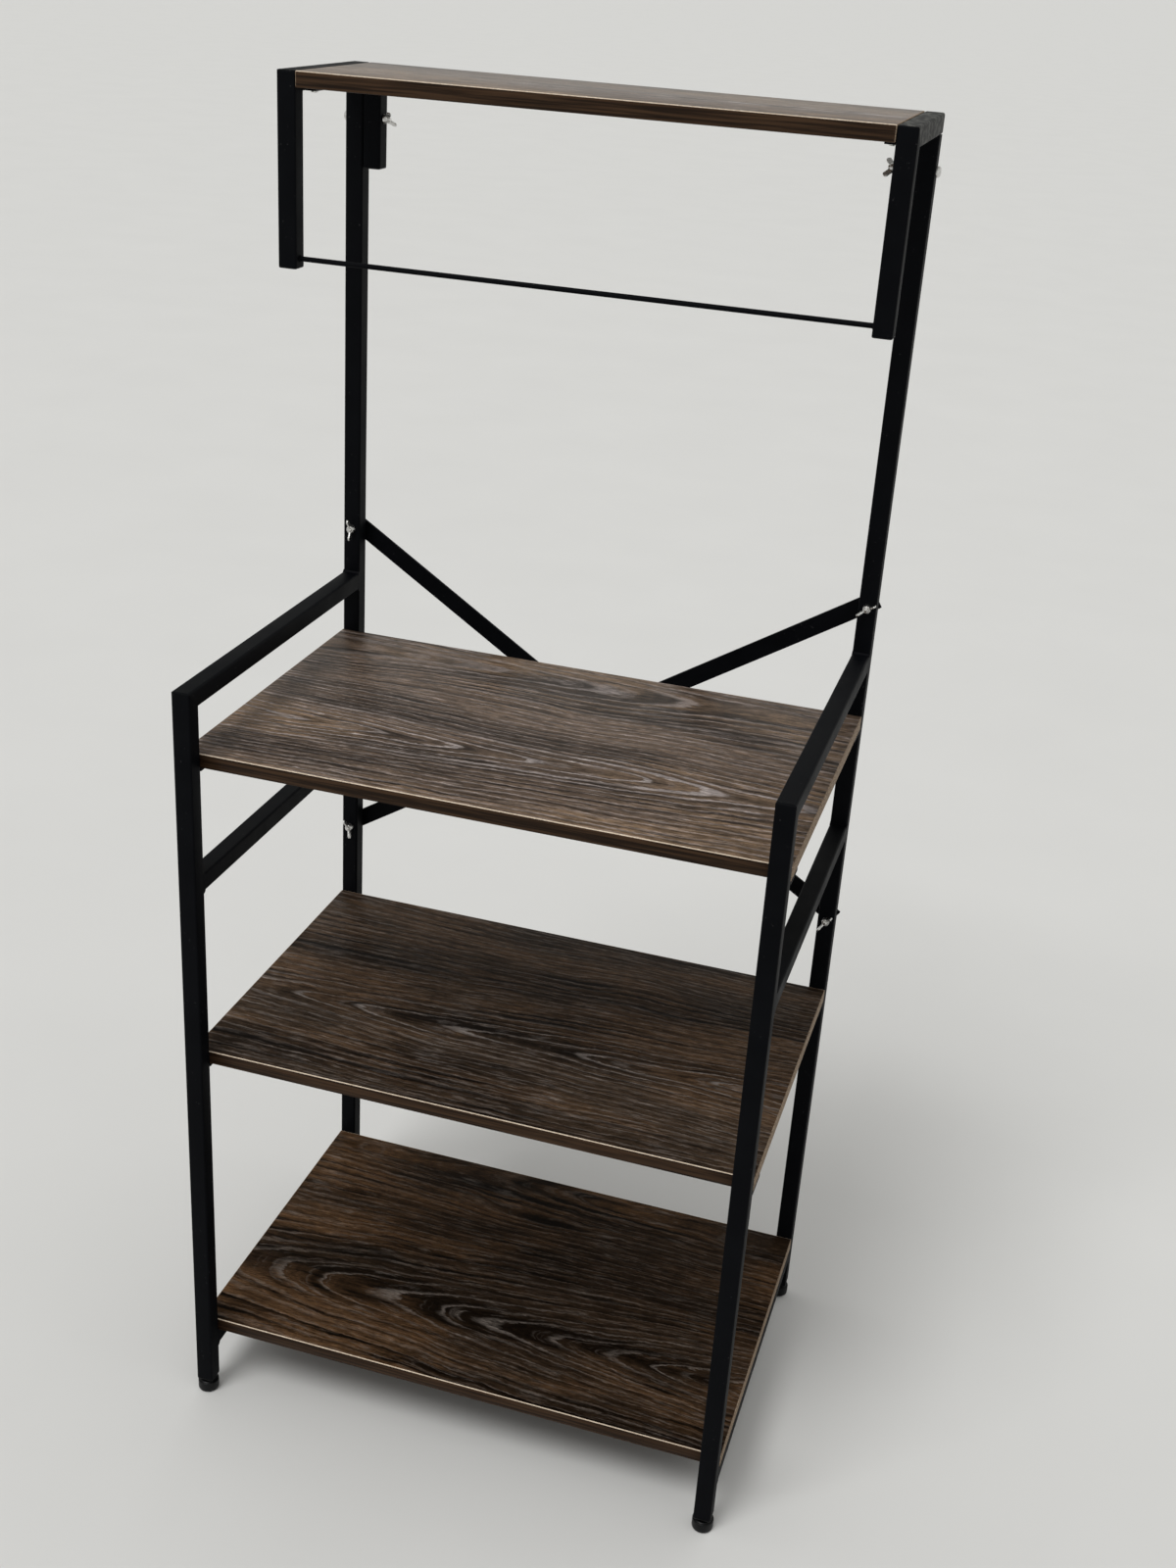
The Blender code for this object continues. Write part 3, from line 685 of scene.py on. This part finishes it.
def chip_face(name, pale, brown):
    """Sawn particle board: flat pressed chips of many tones with dark gaps."""
    made, tree, shader, place = new_material(name, specular=0.3)
    flat = stretched(tree, place, (430.0, 430.0, 1300.0))
    chips = add_node(tree, "TexVoronoi", {"Vector": flat, "Scale": 1.0}).outputs
    tone = add_node(tree, "SeparateColor", {0: chips["Color"]}).outputs[0]
    gap = remapped(tree, chips["Distance"], 0.45, 0.85)
    dust = noise(tree, place, 1400.0, 3.0)
    crumbs = times(tree, gap, remapped(tree, dust, 0.4, 0.6, 0.2, 0.9))
    colour = mixed(tree, remapped(tree, tone, 0.1, 1.0), pale, brown)
    colour = mixed(tree, crumbs, colour, brown)
    roughness = remapped(tree, dust, 0.3, 0.7, 0.72, 0.86)
    set_skin(tree, shader, colour, roughness, minus(tree, tone, gap), 0.0001)
    return made


ARRIS = 0.0008
TAPE_SLOT, CHIPS_SLOT, TRIM_SLOT = 1, 2, 3
walnut_colours = (
    (0.034, 0.024, 0.018, 1), (0.146, 0.102, 0.073, 1),
    (0.216, 0.144, 0.090, 1), (0.305, 0.264, 0.248, 1),
)
# The middle and bottom shelves carry the same print as the others, but with darker copies of its
# colours: painted shade from the shelves above them.
shaded_lower_colours = (
    (0.010, 0.0066, 0.0046, 1), (0.060, 0.040, 0.0262, 1),
    (0.114, 0.069, 0.040, 1), (0.200, 0.174, 0.158, 1),
)
# Darker still on the bottom shelf: painted shade under both shelves above it.
shaded_bottom_colours = (
    (0.007, 0.0042, 0.0024, 1), (0.043, 0.0262, 0.0155, 1),
    (0.104, 0.0560, 0.0270, 1), (0.165, 0.140, 0.122, 1),
)
tape = edge_tape("walnut_edge_tape", (0.016, 0.0088, 0.005, 1), (0.055, 0.030, 0.016, 1))
chips = chip_face("sawn_chips", (0.370, 0.280, 0.195, 1), (0.150, 0.100, 0.064, 1))
trim = chip_face("trimmed_foil_line", (0.800, 0.680, 0.540, 1), (0.600, 0.480, 0.360, 1))
board_looks = {
    "microwave_shelf": {
        "colours": walnut_colours, "sheen": 0.05, "luck": 5.0,
        "boldness": 1.0, "ring_width": 0.0088, "vein_width": 0.26, "depth": 1.0,
        "bends": ((-0.11, 0.09, 0.11, 0.05, -0.009), (0.03, 0.06, 0.06, 0.05, 0.008)),
        "arches": {
            "Valley": -0.071, "Crest": 0.139, "Valley_Blunt": 0.009, "Crest_Blunt": 0.03,
            "Valley_Taper": 0.105, "Crest_Taper": -0.05,
        },
        "eyes": ((0.13, 0.139, 0.07, 0.04, -0.006),),
        "warm_patches": ((0.10, -0.17, 0.30, 0.03, 0.12), (0.0, 0.02, 0.2, 0.03, -0.08)),
        "gloomy_patches": ((0.01, 0.137, 0.06, 0.018, 0.4), (0.0, -0.071, 0.25, 0.010, 0.25)),
    },
    "middle_shelf": {
        "colours": shaded_lower_colours, "sheen": 0.015, "luck": 7.0,
        "boldness": 0.65, "ring_width": 0.0095, "vein_width": 0.24, "depth": 0.75,
        "bends": ((0.10, 0.12, 0.08, 0.04, -0.010),),
        "arches": {"Valley": -0.050, "Crest": 0.250, "Valley_Taper": -0.085, "Crest_Taper": 0.060},
        "eyes": (),
        "warm_patches": ((0.12, -0.143, 0.12, 0.02, 0.2),),
        "gloomy_patches": ((0.05, 0.09, 0.25, 0.02, 0.4), (0.0, -0.05, 0.2, 0.02, 0.3)),
    },
    "bottom_shelf": {
        "colours": shaded_bottom_colours, "sheen": 0.01, "luck": 11.0,
        "boldness": 0.45, "ring_width": 0.0105, "vein_width": 0.2, "depth": 0.8,
        "bends": ((-0.02, 0.10, 0.09, 0.03, 0.010),),
        "arches": {
            "Valley": -0.087, "Crest": 0.165, "Valley_Blunt": 0.02, "Valley_Taper": -0.16,
            "Crest_Taper": 0.05, "Start": 0.004,
        },
        "eyes": ((0.05, 0.175, 0.08, 0.03, 0.010), (0.0, 0.108, 0.06, 0.012, 0.006)),
        "warm_patches": (
            (-0.09, -0.115, 0.10, 0.02, 0.2), (0.0, -0.155, 0.25, 0.02, 0.15), (-0.2, 0.0, 0.1, 0.01, 0.2),
        ),
        "gloomy_patches": (
            (0.0, 0.0, 0.6, 0.6, 0.12), (-0.02, -0.085, 0.16, 0.035, 0.6), (0.01, 0.108, 0.05, 0.012, 0.6),
        ),
    },
    "top_board": {
        "colours": walnut_colours, "sheen": 0.45, "luck": 3.0,
        "boldness": 0.6, "ring_width": 0.0088, "vein_width": 0.26, "depth": 0.8,
        "bends": (),
        "arches": {"Valley": 0.11, "Crest": 0.28, "Valley_Taper": 0.08, "Crest_Taper": 0.03},
        "eyes": (), "warm_patches": (), "gloomy_patches": (),
    },
}


def finish_faces(board, slot_number, test):
    """Gives the faces that pass the test the finish of a slot."""
    pick(board, "FACE", test)
    board.active_material_index = slot_number
    bpy.ops.object.material_slot_assign()


for board_name, look in board_looks.items():
    face_print = walnut_face(f"{board_name}_print", look)
    low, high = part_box(board_name)
    board = block(f"{board_name}_board", low, high)
    for finish in (face_print, tape, chips, trim):
        board.data.materials.append(finish)
    for slot_number, axis in ((TAPE_SLOT, 1), (CHIPS_SLOT, 0)):
        finish_faces(board, slot_number, lambda spot, facing: abs(facing[axis]) > 0.9)
    pick(board, "EDGE", lambda spot, along: True)
    round_off(ARRIS, 2, material=CHIPS_SLOT)
    for slot_number, way in ((TRIM_SLOT, 1), (TAPE_SLOT, -1)):
        finish_faces(
            board, slot_number,
            lambda spot, facing: 0.1 < facing.z * way < 0.95 and abs(facing.y) > 0.3,
        )
    dress(board, "stand", "dark_walnut_board", 30)
    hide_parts(board_name)


# Board screws
# Pan-head steel screws go up through the tabs, the ledges and the bottom rails into the boards. Their
# heads sit below with a cross recess.

def zinc_plate(name, bright, dull):
    """Bright plated steel with duller blooms."""
    made, tree, shader, place = new_material(name, metallic=1.0)
    bloom = noise(tree, place, 260.0, 3.0)
    grain = noise(tree, place, 2600.0, 2.0)
    colour = mixed(tree, remapped(tree, bloom, 0.35, 0.7), bright, dull)
    roughness = remapped(tree, bloom, 0.3, 0.7, 0.20, 0.34)
    set_skin(tree, shader, colour, roughness, grain, 0.00002)
    return made


finishes["bright_zinc"] = zinc_plate("bright_zinc", (0.74, 0.73, 0.71, 1), (0.48, 0.48, 0.47, 1))
SCREW_HEAD_RADIUS = 0.0036
SCREW_HEAD = 0.0019
SCREW_HEAD_ROUNDING = 0.0011
SCREW_RADIUS = 0.0018
SCREW_LENGTH = 0.014
SCREW_POINT = 0.004
RECESS_ARM = (0.0017, 0.0004)
RECESS_DEPTH = 0.0012
SCREW_INSET = 0.010
BOTTOM_SCREW_INSET = 0.06
SCREW_TURN = 17


def copied(obj, name, offset=(0, 0, 0), turns=()):
    """Another piece with its own mesh, turned about axes through the origin and then moved."""
    deselect()
    made = obj.copy()
    made.data = obj.data.copy()
    made.name = made.data.name = name
    made.parent = None
    bpy.context.collection.objects.link(made)
    hold(made)
    bpy.ops.object.mode_set(mode="EDIT")
    bpy.ops.mesh.select_all(action="SELECT")
    for turn, axis in turns:
        bpy.ops.transform.rotate(value=math.radians(-turn), orient_axis=axis, center_override=(0, 0, 0))
    bpy.ops.transform.translate(value=offset)
    bpy.ops.object.mode_set(mode="OBJECT")
    return made


def board_screw(name):
    """A screw whose head seats at the origin, pointing up."""
    screw = rod(name, (0, 0, -SCREW_HEAD), (0, 0, 0), SCREW_HEAD_RADIUS, 32)
    pick(screw, "FACE", lambda spot, facing: facing.z > 0.9)
    bpy.ops.mesh.inset(thickness=SCREW_HEAD_RADIUS - SCREW_RADIUS)
    push((0, 0, SCREW_LENGTH - SCREW_POINT))
    push((0, 0, SCREW_POINT), (0.1, 0.1, 1))
    pick(screw, "EDGE", lambda spot, along: abs(along.z) < 0.1 and spot.z < -SCREW_HEAD * 0.9)
    round_off(SCREW_HEAD_ROUNDING, 4)
    half_length, half_width = RECESS_ARM
    low = (-half_length, -half_width, -SCREW_HEAD - 0.001)
    arm = block("recess", low, (half_length, half_width, RECESS_DEPTH - SCREW_HEAD))
    for turn in (0, 90):
        cut_away(screw, copied(arm, "recess_arm", turns=((turn, "Z"),)))
    bpy.data.objects.remove(arm)
    return screw


pattern = board_screw("screw_pattern")
screw_places = {}
for side in SIDES:
    side_x = planes_of(side)[0]
    for shelf in ("microwave_shelf", "middle_shelf"):
        for end, corner, inset in (("front", 1, -SCREW_INSET), ("rear", 0, SCREW_INSET)):
            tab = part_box(f"{side}_{end}_{shelf}_tab")
            place = (side_x, tab[corner].y + inset, tab[0].z)
            screw_places[f"{side}_{end}_{shelf}_screw"] = place
    for holder, board_name, inset in (
        ("bottom_rail", "bottom_shelf", BOTTOM_SCREW_INSET), ("board_ledge", "top_board", SCREW_INSET),
    ):
        low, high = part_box(f"{side}_{holder}")
        middle_x = (low.x + high.x) / 2
        screw_places[f"{side}_front_{board_name}_screw"] = (middle_x, low.y + inset, low.z)
        screw_places[f"{side}_rear_{board_name}_screw"] = (middle_x, high.y - inset, low.z)
for number, (screw_name, place) in enumerate(screw_places.items()):
    screw = copied(pattern, screw_name, place, ((SCREW_TURN * number, "Z"),))
    dress(screw, "stand", "bright_zinc", 40)
bpy.data.objects.remove(pattern)


# Plugs in the open tube ends
# Moulded black plastic plugs close the drop legs, the hangers and the top rails. A plug has a flat cap
# with rounded edges, as wide as the tube, and a ribbed stub inside.

def moulded_plastic(name, dark, light):
    """Black plastic with the fine grain of its mould."""
    made, tree, shader, place = new_material(name, specular=0.16)
    grain = noise(tree, place, 1500.0, 2.0)
    cloud = noise(tree, place, 60.0, 3.0)
    colour = mixed(tree, remapped(tree, cloud, 0.35, 0.7), dark, light)
    roughness = remapped(tree, grain, 0.3, 0.7, 0.34, 0.46)
    set_skin(tree, shader, colour, roughness, grain, 0.00005)
    return made


finishes["black_plastic"] = moulded_plastic(
    "black_plastic", (0.0030, 0.0032, 0.0036, 1), (0.006, 0.0062, 0.0066, 1)
)
PLUG_LENGTH = 0.009
CAP = 0.0015
CAP_RIM = 0.0003
CAP_ROUNDING = 0.0026
CAP_STEPS = 6
STUB = 0.0158
STUB_RIBS = 3
RIB_RELIEF = 0.0012


def tube_plug(name, length, cap):
    """A plug at the origin whose cap faces down, with its stub pointing up."""
    half = TUBE / 2
    domed = cap - CAP_RIM
    plug = square_bar(name, Vector((-half, -half, domed)), Vector((half, half, cap)), 2, TUBE_CORNER, 5)
    pick(plug, "FACE", lambda spot, facing: facing.z < -0.9)
    angles = [math.radians(90 * step / CAP_STEPS) for step in range(CAP_STEPS + 1)]
    widths = [half - CAP_ROUNDING * (1 - math.cos(angle)) for angle in angles]
    depths = [domed * math.sin(angle) for angle in angles]
    for step in range(CAP_STEPS):
        share = widths[step + 1] / widths[step]
        push((0, 0, depths[step] - depths[step + 1]), (share, share, 1))
    pick(plug, "FACE", lambda spot, facing: facing.z > 0.9)
    bpy.ops.mesh.inset(thickness=(TUBE - STUB) / 2)
    rise = (length - cap) / (2 * STUB_RIBS)
    slim = (STUB - RIB_RELIEF) / STUB
    for _ in range(STUB_RIBS):
        push((0, 0, rise), (slim, slim, 1))
        push((0, 0, rise), (1 / slim, 1 / slim, 1))
    return plug


pattern = tube_plug("plug_pattern", PLUG_LENGTH, CAP)
for side in SIDES:
    for end, tilt in (("drop_leg", 0), ("hanger", 0), ("top_rail", 90)):
        low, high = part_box(f"{side}_{end}_plug")
        middle = (low + high) / 2
        place = (middle.x, middle.y, low.z) if not tilt else (middle.x, high.y, middle.z)
        plug = copied(pattern, f"{side}_{end}_cap", place, ((tilt, "X"),))
        dress(plug, "stand", "black_plastic")
        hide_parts(f"{side}_{end}_plug")
bpy.data.objects.remove(pattern)


# Leg inserts and levelling feet
# A ribbed plastic insert closes each leg and post from below and carries the thread of a levelling
# foot, a round black puck with a six-sided collar on a steel stem. The foot turns by hand.

INSERT_LENGTH = 0.0203
INSERT_CAP = 0.0023
FOOT_RADIUS = 0.0115
FOOT_HEIGHT = 0.0125
FOOT_SOLE_ROUNDING = 0.003
FOOT_RIM_ROUNDING = 0.0012
FOOT_TOP_STEPS = ((0.0016, 0.0007, 0.9), (0.0022, -0.0012, 0.96))
STEM_RADIUS = 0.003
STEM_TOP = 0.0405
STEM_PITCH = 0.001
STEM_THREAD = 0.0009
STEM_TURNS = 12
THREAD_STEPS = 28
COLLAR_RADIUS = 0.0048
insert_pattern = tube_plug("insert_pattern", INSERT_LENGTH, INSERT_CAP)


def helix(name, radius, pitch, turns, depth):
    """The ridge of a screw thread round the Z axis from the origin up."""
    deselect()
    bpy.ops.mesh.primitive_circle_add(vertices=3, radius=pitch * 0.42, fill_type="NGON")
    ridge = settle(bpy.context.object, name)
    bpy.ops.object.mode_set(mode="EDIT")
    bpy.ops.mesh.select_all(action="SELECT")
    bpy.ops.transform.rotate(value=math.radians(90), orient_axis="X", center_override=(0, 0, 0))
    bpy.ops.transform.rotate(value=math.radians(30), orient_axis="Y", center_override=(0, 0, 0))
    bpy.ops.transform.resize(value=(depth / pitch, 1, 1), center_override=(0, 0, 0))
    bpy.ops.transform.translate(value=(radius, 0, 0))
    bpy.ops.mesh.delete(type="ONLY_FACE")
    bpy.ops.object.mode_set(mode="OBJECT")
    wind = ridge.modifiers.new("thread", "SCREW")
    wind.screw_offset = pitch
    wind.iterations = turns
    wind.steps = wind.render_steps = THREAD_STEPS
    wind.use_merge_vertices = False
    bpy.ops.object.modifier_apply(modifier=wind.name)
    bpy.ops.object.mode_set(mode="EDIT")
    bpy.ops.mesh.select_all(action="DESELECT")
    bpy.context.tool_settings.mesh_select_mode = (True, False, False)
    bpy.ops.mesh.select_non_manifold()
    bpy.ops.mesh.edge_face_add()
    bpy.ops.mesh.select_all(action="SELECT")
    bpy.ops.mesh.normals_make_consistent(inside=False)
    bpy.ops.object.mode_set(mode="OBJECT")
    return ridge


def joined(name, *pieces):
    """Several closed meshes as one piece."""
    deselect()
    for piece in pieces:
        piece.select_set(True)
    bpy.context.view_layer.objects.active = pieces[0]
    bpy.ops.object.join()
    pieces[0].name = pieces[0].data.name = name
    return pieces[0]


foot = rod("foot_pattern", (0, 0, 0), (0, 0, FOOT_HEIGHT), FOOT_RADIUS, 64)
pick(foot, "EDGE", lambda spot, along: abs(along.z) < 0.1 and spot.z < 0.001)
round_off(FOOT_SOLE_ROUNDING, 6)
pick(foot, "FACE", lambda spot, facing: facing.z > 0.9)
for inset, rise, share in FOOT_TOP_STEPS:
    bpy.ops.mesh.inset(thickness=inset)
    push((0, 0, rise), (share, share, 1))
at_rim = FOOT_RADIUS * 0.98
pick(foot, "EDGE", lambda spot, along: abs(spot.z - FOOT_HEIGHT) < 0.00001 and spot.xy.length > at_rim)
round_off(FOOT_RIM_ROUNDING, 4)
root_radius = STEM_RADIUS * 0.9
stem = rod("stem", (0, 0, FOOT_HEIGHT - 0.002), (0, 0, STEM_TOP), root_radius, 32)
thread = helix("stem_thread", root_radius, STEM_PITCH, STEM_TURNS, STEM_THREAD)
raised = copied(thread, "stem_thread_raised", (0, 0, FOOT_HEIGHT - 0.001))
bpy.data.objects.remove(thread)
collar = rod("collar", (0, 0, FOOT_HEIGHT - 0.0008), (0, 0, FOOT_HEIGHT + 0.0012), COLLAR_RADIUS, 6)
pick(collar, "EDGE", lambda spot, along: True)
round_off(0.0002, 2)
foot_pattern = joined("foot_pattern", foot, collar)
stem_pattern = joined("stem_pattern", stem, raised)
for side in SIDES:
    for end in ("front", "rear"):
        low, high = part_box(f"{side}_{end}_leg_insert")
        middle = (low + high) / 2
        insert = copied(insert_pattern, f"{side}_{end}_insert", (middle.x, middle.y, low.z))
        dress(insert, "stand", "black_plastic")
        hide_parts(f"{side}_{end}_leg_insert")
        body = f"{side}_{end}_leveller"
        puck = copied(foot_pattern, f"{side}_{end}_foot_puck", (middle.x, middle.y, 0))
        dress(puck, body, "black_plastic")
        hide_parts(f"{side}_{end}_foot")
        stem = copied(stem_pattern, f"{side}_{end}_foot_stem", (middle.x, middle.y, 0))
        dress(stem, body, "bright_zinc")
for pattern in (insert_pattern, foot_pattern, stem_pattern):
    bpy.data.objects.remove(pattern)


# Rivet of the cross brace
# One domed steel rivet holds the two flat bars together where they cross. It is set before the bars
# are sprayed.

RIVET_RADIUS = 0.0025
RIVET_HEAD_RADIUS = 0.005
RIVET_HEAD = 0.0015
RIVET_ROUNDING = 0.0014
low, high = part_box("brace_rivet")
centre = (low + high) / 2
inside = Vector((0, RIVET_HEAD / 2, 0))
start = Vector((centre.x, low.y, centre.z)) + inside
stop = Vector((centre.x, high.y, centre.z)) - inside
rivet = rod("brace_rivet_set", start, stop, RIVET_RADIUS, 32)
for end_y, inward in ((low.y, 1), (high.y, -1)):
    seat = (centre.x, end_y + inward * RIVET_HEAD, centre.z)
    head = rod("rivet_head", seat, (centre.x, end_y, centre.z), RIVET_HEAD_RADIUS, 32)
    pick(head, "EDGE", lambda spot, along: abs(along.y) < 0.1 and abs(spot.y - end_y) < 0.0001)
    round_off(RIVET_ROUNDING, 5)
    rivet = joined("brace_rivet_set", rivet, head)
dress(rivet, "stand", "black_powder_coat")
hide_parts("brace_rivet")


# Bolts and wing nuts
# Zinc-plated round-head bolts pass through the brace bars and the posts, and through the posts and
# the hangers. A cast wing nut on each is tightened by hand.

BOLT_RADIUS = 0.0025
BOLT_PITCH = 0.0008
BOLT_THREAD = 0.0007
BOLT_TIP = 0.0005
BOLT_PAST_HUB = 0.002
BOLT_HEAD = 0.004
BOLT_HEAD_RADIUS = 0.0055
HUB_RADIUS = 0.005
HUB_HEIGHT = 0.005
HUB_TAPER = 0.78
WING_SPAN = 0.0238
WING_HEIGHT = 0.0106
WING_THICKNESS = 0.0018
LOBE = 0.0027
WING_ROOT = (0.0058, 0.0042)
WING_ROOT_SPREAD = (1, 1.35, 0.95)
CAST_GRAIN = 0.00022


def bolt_pattern(name, grip):
    """A bolt whose head seats at the origin and whose shank points up Z."""
    threaded = HUB_HEIGHT + BOLT_PAST_HUB
    end = grip + threaded
    shank = rod(name, (0, 0, -0.001), (0, 0, end), BOLT_RADIUS * 0.9, 32)
    pick(shank, "EDGE", lambda spot, along: abs(along.z) < 0.1 and spot.z > end - 0.0001)
    round_off(BOLT_TIP, 2)
    cap = rod("cap", (0, 0, -BOLT_HEAD), (0, 0, 0), BOLT_HEAD_RADIUS, 48)
    pick(cap, "EDGE", lambda spot, along: abs(along.z) < 0.1 and spot.z < -BOLT_HEAD * 0.9)
    round_off(BOLT_HEAD * 0.75, 7)
    turns = int(threaded / BOLT_PITCH)
    thread = helix("thread", BOLT_RADIUS * 0.88, BOLT_PITCH, turns, BOLT_THREAD)
    raised = copied(thread, "thread_raised", (0, 0, end - (turns + 0.6) * BOLT_PITCH))
    bpy.data.objects.remove(thread)
    return joined(name, shank, cap, raised)


def wing_nut_pattern():
    """A nut whose hub seats at the origin, with its wings along X and its top up Z."""
    hub = rod("wing_nut_pattern", (0, 0, 0), (0, 0, HUB_HEIGHT), HUB_RADIUS, 48)
    pick(hub, "FACE", lambda spot, facing: facing.z > 0.9)
    bpy.ops.transform.resize(value=(HUB_TAPER, HUB_TAPER, 1), center_override=(0, 0, 0))
    pieces = [hub]
    for sign in (-1, 1):
        lobe = Vector((sign * (WING_SPAN / 2 - LOBE), 0, WING_HEIGHT - LOBE))
        half = Vector((0, WING_THICKNESS / 2, 0))
        wing = rod("wing", lobe - half, lobe + half, LOBE, 32)
        pick(wing, "FACE", lambda spot, facing: facing.x * -sign - facing.z > 0.4 and abs(facing.y) < 0.1)
        inward = Vector((-sign * WING_ROOT[0], 0, -WING_ROOT[1]))
        push(inward, WING_ROOT_SPREAD, lobe + inward)
        pieces.append(wing)
    nut = joined("wing_nut_pattern", *pieces)
    cast = nut.modifiers.new("cast", "REMESH")
    cast.mode = "VOXEL"
    cast.voxel_size = CAST_GRAIN
    bpy.ops.object.modifier_apply(modifier=cast.name)
    even = nut.modifiers.new("even", "SMOOTH")
    even.factor = 0.6
    even.iterations = 6
    bpy.ops.object.modifier_apply(modifier=even.name)
    return nut


def set_fastener(pattern, name, body, node, where, turns, angle=35):
    """Copies a bolt or a nut to its place, where it stands for a node."""
    piece = copied(pattern, name, where, turns)
    dress(piece, body, "bright_zinc", angle)
    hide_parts(node)


nut_pattern = wing_nut_pattern()
brace_turns = {"upper_left": 96, "upper_right": 35, "lower_left": 109, "lower_right": 52}
brace_bolt = None
for place, turn in brace_turns.items():
    nut_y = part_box(f"{place}_brace_wing_nut")[1].y
    bolt_low, bolt_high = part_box(f"{place}_brace_bolt")
    centre = (bolt_low + bolt_high) / 2
    seat_y = bolt_high.y - BOLT_HEAD
    if brace_bolt is None:
        brace_bolt = bolt_pattern("brace_bolt_pattern", seat_y - nut_y)
    where, tilt = (centre.x, seat_y, centre.z), (90, "X")
    set_fastener(brace_bolt, f"{place}_bolt", "stand", f"{place}_brace_bolt", where, (tilt,))
    where, body = (centre.x, nut_y, centre.z), f"{place}_brace_nut"
    turns = ((turn, "Z"), tilt)
    set_fastener(nut_pattern, f"{place}_nut", body, f"{place}_brace_wing_nut", where, turns, 60)

top_turns = {"left": 55, "right": 52}
top_bolt = None
for side, sign in SIDES.items():
    nut_low, nut_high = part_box(f"{side}_top_wing_nut")
    bolt_low, bolt_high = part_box(f"{side}_top_bolt")
    centre = (bolt_low + bolt_high) / 2
    seat_x = bolt_low.x + BOLT_HEAD if sign < 0 else bolt_high.x - BOLT_HEAD
    nut_x = nut_low.x if sign < 0 else nut_high.x
    if top_bolt is None:
        top_bolt = bolt_pattern("top_bolt_pattern", abs(seat_x - nut_x))
    where, tilt = (seat_x, centre.y, centre.z), (-sign * 90, "Y")
    set_fastener(top_bolt, f"{side}_top_bolt_set", "stand", f"{side}_top_bolt", where, (tilt,))
    where, body = (nut_x, centre.y, centre.z), f"{side}_top_nut"
    turns = ((top_turns[side], "Z"), tilt)
    set_fastener(nut_pattern, f"{side}_top_nut_cast", body, f"{side}_top_wing_nut", where, turns, 60)
for pattern in (nut_pattern, brace_bolt, top_bolt):
    bpy.data.objects.remove(pattern)


# Studio
# A plain pale floor, a soft lamp from above the front left and an even sky that is brighter overhead.

deselect()
FLOOR_SIZE = 600
bpy.ops.mesh.primitive_plane_add(size=FLOOR_SIZE)
floor = bpy.context.object
floor.name = "studio_floor"
floor_skin, tree, shader, place = new_material("studio_floor", specular=0.3)
wear = noise(tree, place, 3.0, 3.0)
floor_colour = mixed(tree, remapped(tree, wear, 0.3, 0.7), (0.66, 0.66, 0.645, 1), (0.675, 0.675, 0.66, 1))
tree.links.new(floor_colour, shader.inputs["Base Color"])
shader.inputs["Roughness"].default_value = 0.6
floor.data.materials.append(floor_skin)
floor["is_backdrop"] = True

bpy.ops.object.light_add(type="SUN", rotation=(math.radians(28), math.radians(-14), 0))
lamp = bpy.context.object.data
lamp.energy = 1.4
lamp.angle = math.radians(24)

world = bpy.data.worlds.new("studio_sky")
world.use_nodes = True
sky = world.node_tree
sky.nodes.clear()
direction = axes_of(sky, add_node(sky, "TexCoord").outputs["Generated"])[2]
overhead = remapped(sky, direction, 0.0, 1.0, 0.10, 0.90)
lit = add_node(sky, "Background", {"Color": (1.0, 0.995, 0.98, 1), "Strength": overhead})
fading = remapped(sky, direction, 0.5, 1.0, 1.0, 0.4)
seen = add_node(sky, "Background", {"Color": (0.70, 0.705, 0.68, 1), "Strength": fading})
ray = add_node(sky, "LightPath").outputs
direct = maths(sky, "MAXIMUM", ray["Is Camera Ray"], ray["Is Glossy Ray"])
direct = maths(sky, "MAXIMUM", direct, ray["Is Transmission Ray"])
choice = add_node(sky, "MixShader", {0: direct, 1: lit.outputs[0], 2: seen.outputs[0]})
add_node(sky, "OutputWorld", {0: choice.outputs[0]})
bpy.context.scene.world = world
bpy.context.scene.view_settings.view_transform = "Standard"


# Camera
# It stands in front of the stand, to the right and above the microwave shelf, as in the photograph.

bpy.ops.object.camera_add(
    location=(0.5057, -1.62735, 1.5274),
    rotation=(math.radians(64.9699), math.radians(-3.4740), math.radians(17.1307)),
)
camera = bpy.context.object
camera.data.lens = 41.889
camera.data.sensor_width = 36.0
bpy.context.scene.camera = camera

low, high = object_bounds()
